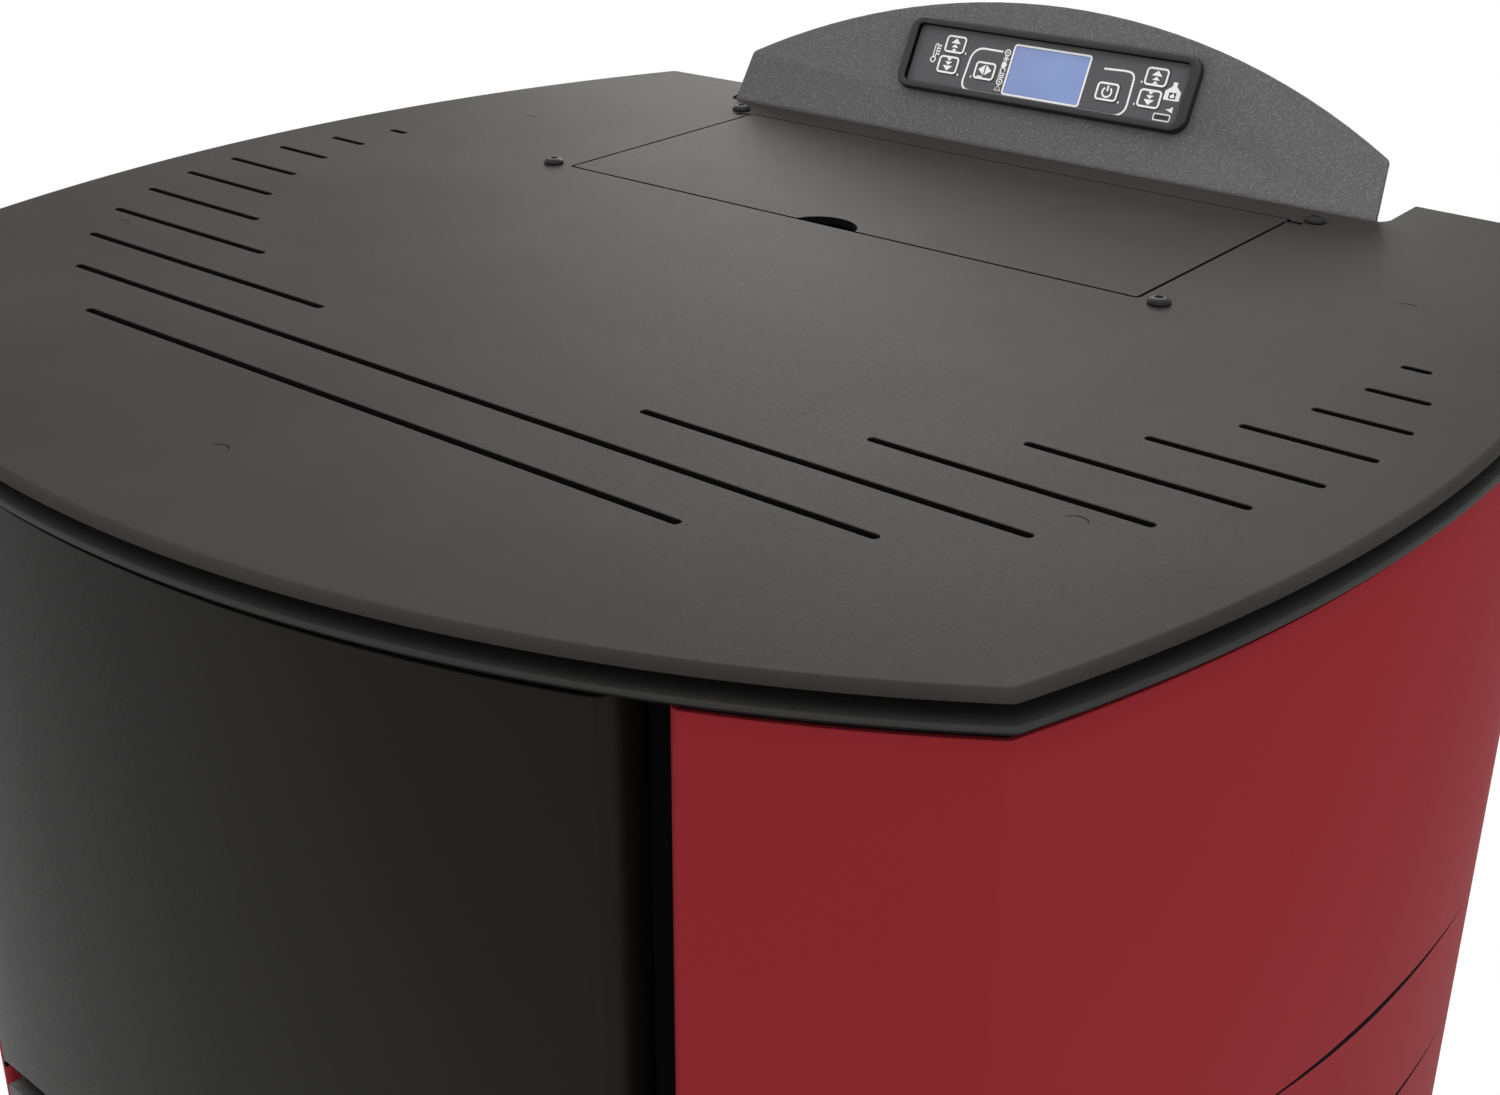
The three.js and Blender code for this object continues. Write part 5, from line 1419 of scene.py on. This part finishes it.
    def film_print(self) -> None:
        """Prints the lines and symbols that lie on the film beside the keys."""
        white: list[Plate] = [
            ribbon(rounded_path(self.bracket, 3.0), self.line),
            ribbon(round_box(*self.window_line), self.line, closed=True),
            *self.thermometer(-63.4, 37.2), *self.icon_column(-22.9), [self.house], [self.scoop],
            ribbon(round_box(*self.scoop_tray), 0.5, closed=True),
            *([round_box(x, s, 0.7, 1.1, 0.25)] for x, s in self.dots),
        ]
        dark = [[round_box(67.6, 38.2, 3.6, 3.0, 0.3)], [round_box(65.5, 27.7, 6.4, 1.5, 0.3)]]
        low, high = self.film, self.film + self.ink
        for name, plates, under, over, finish in (
            ("keypad_print", white, low - self.ink_sink, high, WHITE_INK),
            ("keypad_dark_print", dark, low, high + 0.03, DARK_INK),
            ("keypad_hearth_flame", [[self.flame]], low, high + 0.06, WHITE_INK),
        ):
            finished(name, self.flat(name, plates, under, over), finish, Body.CASING)

    def thermometer(self, x: float, s: float) -> list[Plate]:
        """Draws a small thermometer.

        Args:
            x: Its bulb's middle across.
            s: Its bulb's middle up the panel.

        Returns:
            Its plates.
        """
        bulb = ribbon(arc(x, s, 1.3, 0.0, 2 * math.pi - 0.2, 0.2), 0.6, closed=True)
        stem = ribbon(round_box(x + 0.15, s + 4.7, 1.5, 6.4, 0.7), 0.5, closed=True)
        marks = [[round_box(x + 2.1, s + 2.9 + 1.45 * i, 1.5, 0.75, 0.2)] for i in range(4)]
        return [bulb, stem, *marks]

    def icon_column(self, x: float) -> list[Plate]:
        """Draws the column of plain small status symbols beside the display.

        Args:
            x: The column's middle across.

        Returns:
            The symbols' plates.
        """
        icons: list[Plate] = []
        for s in (46.1, 31.6):
            icons.append(ribbon(arc(x, s, 1.4, 0.0, 2 * math.pi - 0.2, 0.2), 0.55, closed=True))
            icons.append([round_box(x, s, 0.8, 0.8, 0.3)])
        for a in (math.pi * turn / 3 for turn in range(3)):
            dx, dy = 1.6 * math.cos(a), 1.6 * math.sin(a)
            icons.append(ribbon([(x - dx, 43.0 - dy), (x + dx, 43.0 + dy)], 0.5))
        icons.append([[(x - 1.5, 38.9), *arc(x - 0.1, 40.1, 1.4, -2.0, 1.9, 0.4), (x - 1.3, 41.5)]])
        icons.append(ribbon(arc(x, 37.3, 1.25, -0.4, 4.4, 0.3), 0.55))
        for y in (33.6 + 0.95 * i for i in range(3)):
            wave = [(x - 1.6, y), (x - 0.8, y + 0.45), (x, y), (x + 0.8, y + 0.45), (x + 1.6, y)]
            icons.append(ribbon(wave, 0.5))
        icons.append(ribbon([(x - 1.5, 27.3), (x + 1.7, 27.3), (x + 0.1, 29.9)], 0.5, closed=True))
        return icons


@dataclass
class Casing:
    """The outer panels, feet and base, with the swept grooves pressed into the side panels."""

    sweep: tuple[Point, ...] = (
        (158.0, 818.5), (145.6, 824.0), (109.4, 834.5), (80.0, 840.6), (54.6, 844.9), (32.3, 847.9),
        (12.2, 850.6), (-6.0, 852.8), (-31.1, 856.0), (-60.0, 858.4), (-100.0, 859.6),
    )
    upper_tail: tuple[Point, ...] = ((-140.0, 858.0), (-172.0, 854.5))
    lower_tail: tuple[Point, ...] = ((-130.0, 858.6),)
    groove_spacing: float = 60.0
    groove_width: float = 3.4
    groove_depth: float = 1.3
    groove_tip: float = 0.12
    groove_bend: float = 40.0
    groove_lip: float = 1.5
    groove_flare: float = 1.6
    groove_taper: float = 1.25
    panel_inset: float = 1.0
    joint_under_ring: float = 1.8
    side_joint: float = 5.0
    flange_bend: float = 9.0

    def build(self) -> None:
        """Builds the casing's pieces."""
        Shell("base_plate", Body.CASING, FRONT_COAT, 0.5, 1).build()
        for number in range(1, 5):
            Shell(f"levelling_foot_{number}", Body.CASING, BLACK_MOULDING, 0.5).build()
        for name in ("upper_front_panel", "lower_front_panel"):
            panel = Shell(name, Body.CASING, FRONT_COAT).build()
            self.fit_front_panel(panel.data)
            shade_round(panel, FRONT_AXIS)
        # The frame behind the front panels is matt black: painted shade in the joints beside them.
        Shell("front_frame", Body.CASING, SHADE_BLACK, 0.0).build()
        Shell("rear_panel", Body.CASING, ZINC, 0.0).build()
        self.side_panel("side_panel_left", -1)
        self.side_panel("side_panel_right", 1)

    def fit_front_panel(self, mesh: bpy.types.Mesh) -> None:
        """Draws a front panel's flanges in beside the side panels, and its top down from the ring.

        Args:
            mesh: The panel's mesh.
        """
        under_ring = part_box("side_panel_left")[1][2] - 0.5 * MM
        radius = max((v.co.xy - FRONT_AXIS.xy).length for v in mesh.vertices)
        angles = [math.atan2(v.co.x, FRONT_AXIS.y - v.co.y) for v in mesh.vertices]
        edge = max(angles) - self.flange_bend * MM / radius
        for vert, angle in zip(mesh.vertices, angles):
            if vert.co.z > under_ring:
                vert.co.z -= self.joint_under_ring * MM
            if abs(angle) > edge:
                turned = angle - math.copysign(self.side_joint * MM / radius, angle)
                out = (vert.co.xy - FRONT_AXIS.xy).length
                vert.co.x = FRONT_AXIS.x + out * math.sin(turned)
                vert.co.y = FRONT_AXIS.y - out * math.cos(turned)

    def side_panel(self, name: str, side: int) -> None:
        """Builds one side panel with its grooves.

        Args:
            name: The panel's node.
            side: 1 for the right and -1 for the left.
        """
        piece = CutSheet(name, Body.CASING, SIDE_COAT, 0.5, 2, drop_mm=self.joint_under_ring).build()
        lower = [(y, z - self.groove_spacing) for y, z in self.sweep + self.lower_tail]
        for number, line in enumerate((self.sweep + self.upper_tail, lower), 1):
            cutter = self.groove_cutter(f"{name}_groove_{number}", line, side)
            cut = piece.modifiers.new(f"groove_{number}", "BOOLEAN")
            cut.operation = "DIFFERENCE"
            cut.solver = "EXACT"
            # The cutter's matt black goes onto the groove's walls: painted shade.
            cut.material_mode = "TRANSFER"
            cut.object = cutter
            apply_modifiers(piece)
            bpy.data.objects.remove(cutter)
        mark_sharp(piece.data, 25)

    def side_x(self, y: float) -> float:
        """Returns how far out the side panel's face is at y."""
        radius = SIDE_RADIUS_MM - self.panel_inset
        return SIDE_CENTRE[0] + math.sqrt(radius ** 2 - (y - SIDE_CENTRE[1]) ** 2)

    def groove_cutter(self, name: str, line: Sequence[Point], side: int) -> bpy.types.Object:
        """Makes the wedge that presses a tapered groove.

        Args:
            name: The cutter's name.
            line: The groove's middle line, as y and z on the side.
            side: 1 for the right and -1 for the left.

        Returns:
            The cutter.
        """
        points = rounded_path(line, self.groove_bend)
        work = bmesh.new()
        rings = []
        for i, (y, z) in enumerate(points):
            before, after = points[max(i - 1, 0)], points[min(i + 1, len(points) - 1)]
            way = Vector((after[0] - before[0], after[1] - before[1])).normalized()
            t = min(1.0, i / (len(points) - 1) * self.groove_taper)
            swell = max(self.groove_tip, math.sin(math.pi * t) ** 0.8 if t < 1.0 else 0.0)
            half, x = self.groove_width * swell / 2 * self.groove_flare, self.side_x(y)
            lip, floor = self.groove_lip, -self.groove_depth * swell - 0.2
            wedge = [(lip, half), (lip, -half), (floor, 0.0)]
            rings.append([work.verts.new(spot(side * (x + out), y - way.y * off, z + way.x * off))
                          for out, off in wedge])
        for here, there in zip(rings, rings[1:]):
            for k in range(3):
                work.faces.new((here[k], here[(k + 1) % 3], there[(k + 1) % 3], there[k]))
        work.faces.new(rings[0][::-1])
        work.faces.new(rings[-1])
        bmesh.ops.recalc_face_normals(work, faces=work.faces[:])
        cutter = in_scene(name, made(work, name))
        # Painted shade: this matt black is what the groove's walls get.
        cutter.data.materials.append(SHADE_BLACK.material())
        return cutter


@dataclass
class FireDoor:
    """The arched fire door with its glass, seal, handle and hinge pins."""

    window_half: float = 134.0
    window_bottom: float = 384.0
    window_radius: float = 232.0
    arch_centre: float = 498.0
    glass_thickness: float = 3.7
    ink_gap: float = 0.25
    border_under: float = 6.0
    seal_width: float = 13.0
    clear_corner: float = 14.0
    border_strips: int = 40
    corner_strips: int = 6
    ink_thickness: float = 0.15

    def build(self) -> None:
        """Builds the door's pieces."""
        self.printed_border()
        shade_round(Shell("door_frame", Body.DOOR, FRONT_COAT, 0.5).build(), FRONT_AXIS)
        Shell("door_glass", Body.DOOR, FIRE_GLASS, 0.0).build()
        Shell("door_gasket", Body.DOOR, SEAL_ROPE, 1.5, 3).build()
        Shell("door_handle", Body.HANDLE, SATIN_STEEL).build()
        for end in ("bottom", "top"):
            Shell(f"door_hinge_pin_{end}", Body.CASING, BLACK_OXIDE, 0.3, 1).build()

    def printed_border(self) -> None:
        """Prints the glass black on its back, from under the frame to inside the seal."""
        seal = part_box("door_gasket")
        radius = (FRONT_AXIS.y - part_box("door_glass")[0][1]) / MM - self.glass_thickness + self.ink_gap
        half = seal[1][0] / MM - self.seal_width
        low, high = seal[0][2] / MM + self.seal_width, seal[1][2] / MM - self.seal_width
        outer = self.window_half + self.border_under
        bottom = self.window_bottom - self.border_under
        strips, corner_strips = self.border_strips, self.corner_strips
        stops = {-outer, outer, -half, half} | {outer * i / strips for i in range(-strips, strips + 1)}
        stops |= {side * (half - self.clear_corner * i / corner_strips)
                  for i in range(corner_strips + 1) for side in (-1, 1)}
        ordered = sorted(stops)
        work = bmesh.new()
        for a, b in zip(ordered, ordered[1:]):
            spans = [(lambda x: bottom, self.border_top)]
            if max(abs(a), abs(b)) <= half + 1e-6:
                spans = [(lambda x: bottom, lambda x: low + self.corner_rise(half, x)),
                         (lambda x: high - self.corner_rise(half, x), self.border_top)]
            for under, over in spans:
                ring = [(a, under(a)), (b, under(b)), (b, over(b)), (a, over(a))]
                work.faces.new([work.verts.new(self.on_glass(x, z, radius)) for x, z in ring])
        bmesh.ops.remove_doubles(work, verts=work.verts[:], dist=SAME_LEVEL_M)
        piece = finished("door_glass_border", made(work, "door_glass_border_mesh"), BORDER_INK, Body.DOOR)
        piece.modifiers.new("ink_thickness", "SOLIDIFY").thickness = self.ink_thickness * MM

    def border_top(self, x: float) -> float:
        """Returns how high the printed border reaches at x."""
        return self.arch_centre + math.sqrt((self.window_radius + self.border_under) ** 2 - x * x)

    def corner_rise(self, half: float, x: float) -> float:
        """Returns how far round corners draw the edge of a clear part of some half width in at x."""
        past = max(0.0, abs(x) - (half - self.clear_corner))
        return self.clear_corner - math.sqrt(max(0.0, self.clear_corner ** 2 - past ** 2))

    def on_glass(self, x: float, z: float, radius: float) -> Vector:
        """Returns the place at x and z on an upright round sheet about the front's axis."""
        return Vector((x * MM, FRONT_AXIS.y - math.sqrt(radius ** 2 - x * x) * MM, z * MM))


@dataclass
class Inside:
    """What is inside the casing: ash drawer, firebox, hopper, feed, fans, pipes and electrical parts."""

    plan: tuple[tuple[str, Body, Finish, float], ...] = (
        ("ash_drawer", Body.DRAWER, FRONT_COAT, 0.4),
        ("ash_bay", Body.CASING, ZINC, 0.0),
        ("firebox", Body.CASING, IRON, 0.0),
        ("fireback_plate", Body.CASING, IRON, 0.8),
        ("burn_pot", Body.POT, IRON, 0.0),
        ("igniter", Body.CASING, SATIN_STEEL, 0.0),
        # The hopper is matt black: painted shade in what shows through the slots and the lid's notch.
        ("hopper", Body.CASING, SHADE_BLACK, 0.0),
        ("hopper_grille", Body.CASING, FRONT_COAT, 0.6),
        ("auger_tube", Body.CASING, ZINC, 0.0),
        ("auger_screw", Body.AUGER, SATIN_STEEL, 0.0),
        ("auger_gearmotor", Body.CASING, SATIN_STEEL, 1.0),
        ("exhaust_duct", Body.CASING, ZINC, 0.0),
        ("exhaust_fan_housing", Body.CASING, ZINC, 0.0),
        ("exhaust_impeller", Body.EXHAUST_ROTOR, SATIN_STEEL, 0.0),
        ("exhaust_fan_motor", Body.CASING, SATIN_STEEL, 1.0),
        ("flue_outlet", Body.CASING, ZINC, 0.0),
        ("air_inlet", Body.CASING, ZINC, 0.0),
        ("room_fan_housing", Body.CASING, ZINC, 0.0),
        ("room_fan_rotor", Body.ROOM_ROTOR, SATIN_STEEL, 0.0),
        ("room_fan_motor", Body.CASING, SATIN_STEEL, 0.8),
        ("control_board", Body.CASING, BOARD_GREEN, 0.0),
        ("mains_inlet", Body.CASING, BLACK_MOULDING, 0.0),
        ("power_switch", Body.ROCKER, BLACK_MOULDING, 0.4),
    )

    def build(self) -> None:
        """Builds the pieces of the plan in order."""
        for row in self.plan:
            Shell(*row).build()


# ---------------------------------------------------------------- studio


@dataclass
class Studio:
    """The floor, the lights and the camera at the photograph's viewing angle."""

    camera_at: Place = (469.27, -512.04, 1284.90)
    right: Place = (0.777186, 0.629254, 0.004716)
    down: Place = (0.258653, -0.312610, -0.913988)
    forward: Place = (-0.573656, 0.711558, -0.405714)
    lens_mm: float = 46.467
    shift: float = -0.05
    sky: float = 0.6
    floor_fade: Point = (0.45, 1.3)
    softboxes: tuple[tuple[str, Place, Place, float, float], ...] = (
        ("softbox_overhead", (0.1, -0.1, 3.4), (0.0, 0.0, 1.0), 3.2, 38),
        ("softbox_right", (3.2, -1.9, 1.9), (0.0, 0.0, 0.9), 2.4, 26),
        ("softbox_left", (-3.0, -2.4, 1.7), (0.0, 0.0, 0.9), 2.2, 14),
        ("softbox_back", (-1.57, 2.52, 2.25), (0.0, 0.0, 1.05), 1.6, 74),
    )

    def build(self) -> None:
        """Builds the studio."""
        self.camera()
        self.world()
        self.floor()
        for row in self.softboxes:
            self.softbox(*row)
        bpy.context.scene.view_settings.view_transform = "Standard"

    def camera(self) -> None:
        """Sets the camera where the photograph was taken from."""
        data = bpy.data.cameras.new("photo_camera")
        data.sensor_width = 36
        data.lens = self.lens_mm
        data.shift_y = self.shift
        data.clip_start = 0.01
        data.clip_end = 100
        camera = in_scene("photo_camera", data)
        turn = Matrix((self.right, -Vector(self.down), -Vector(self.forward))).transposed().to_4x4()
        camera.matrix_world = Matrix.Translation(spot(*self.camera_at)) @ turn
        bpy.context.scene.camera = camera

    def world(self) -> None:
        """Sets an even pale sky, which the eye and the reflections see as white."""
        world = bpy.data.worlds.new("studio_world")
        world.use_nodes = True
        tree = world.node_tree
        tree.nodes.clear()
        strength = add_node(tree, "MapRange", {"Value": seen_rays(tree), "To Min": self.sky, "To Max": 1.0})
        back = add_node(tree, "Background", {"Color": linear("ffffff"), "Strength": strength.outputs[0]})
        add_node(tree, "OutputWorld", {"Surface": back.outputs[0]})
        bpy.context.scene.world = world

    def floor(self) -> None:
        """Lays a pale floor that keeps the stove's shadow and turns white further away."""
        work = bmesh.new()
        bmesh.ops.create_grid(work, x_segments=1, y_segments=1, size=30)
        floor = in_scene("studio_floor", made(work, "studio_floor_mesh"))
        material = bpy.data.materials.new("studio_floor_pale_paper")
        material.use_nodes = True
        tree = material.node_tree
        tree.nodes.clear()
        place = add_node(tree, "NewGeometry", {}).outputs["Position"]
        away = add_node(tree, "VectorMath", {0: place}, operation="LENGTH").outputs["Value"]
        far = add_node(tree, "MapRange", {
            "Value": away, "From Min": self.floor_fade[0], "From Max": self.floor_fade[1],
        }, interpolation_type="SMOOTHSTEP")
        share = combine(tree, "MULTIPLY", far.outputs[0], seen_rays(tree))
        paper = add_node(tree, "BsdfDiffuse", {"Color": linear("ececeb")})
        white = add_node(tree, "Emission", {"Color": linear("ffffff"), "Strength": 1.0})
        mixed = add_node(tree, "MixShader", {0: share, 1: paper.outputs[0], 2: white.outputs[0]})
        add_node(tree, "OutputMaterial", {"Surface": mixed.outputs[0]})
        floor.data.materials.append(material)

    def softbox(self, name: str, at: Place, aim: Place, size: float, watts: float) -> None:
        """Hangs one square softbox.

        Args:
            name: The light's name.
            at: Where it hangs.
            aim: The point that it faces.
            size: Its side in metres.
            watts: Its power.
        """
        data = bpy.data.lights.new(name, "AREA")
        data.energy = watts
        data.size = size
        light = in_scene(name, data)
        light.location = at
        light.rotation_euler = (Vector(aim) - Vector(at)).to_track_quat("-Z", "Y").to_euler()


def main() -> None:
    """Builds the studio and the stove, piece by piece."""
    logging.basicConfig(level=logging.INFO, format="%(name)s: %(message)s")
    Studio().build()
    for assembly in (SlottedTop(), KeyPanel(), Casing(), FireDoor(), Inside()):
        LOG.info("building %s", type(assembly).__name__)
        assembly.build()


if __name__ == "__main__":
    main()
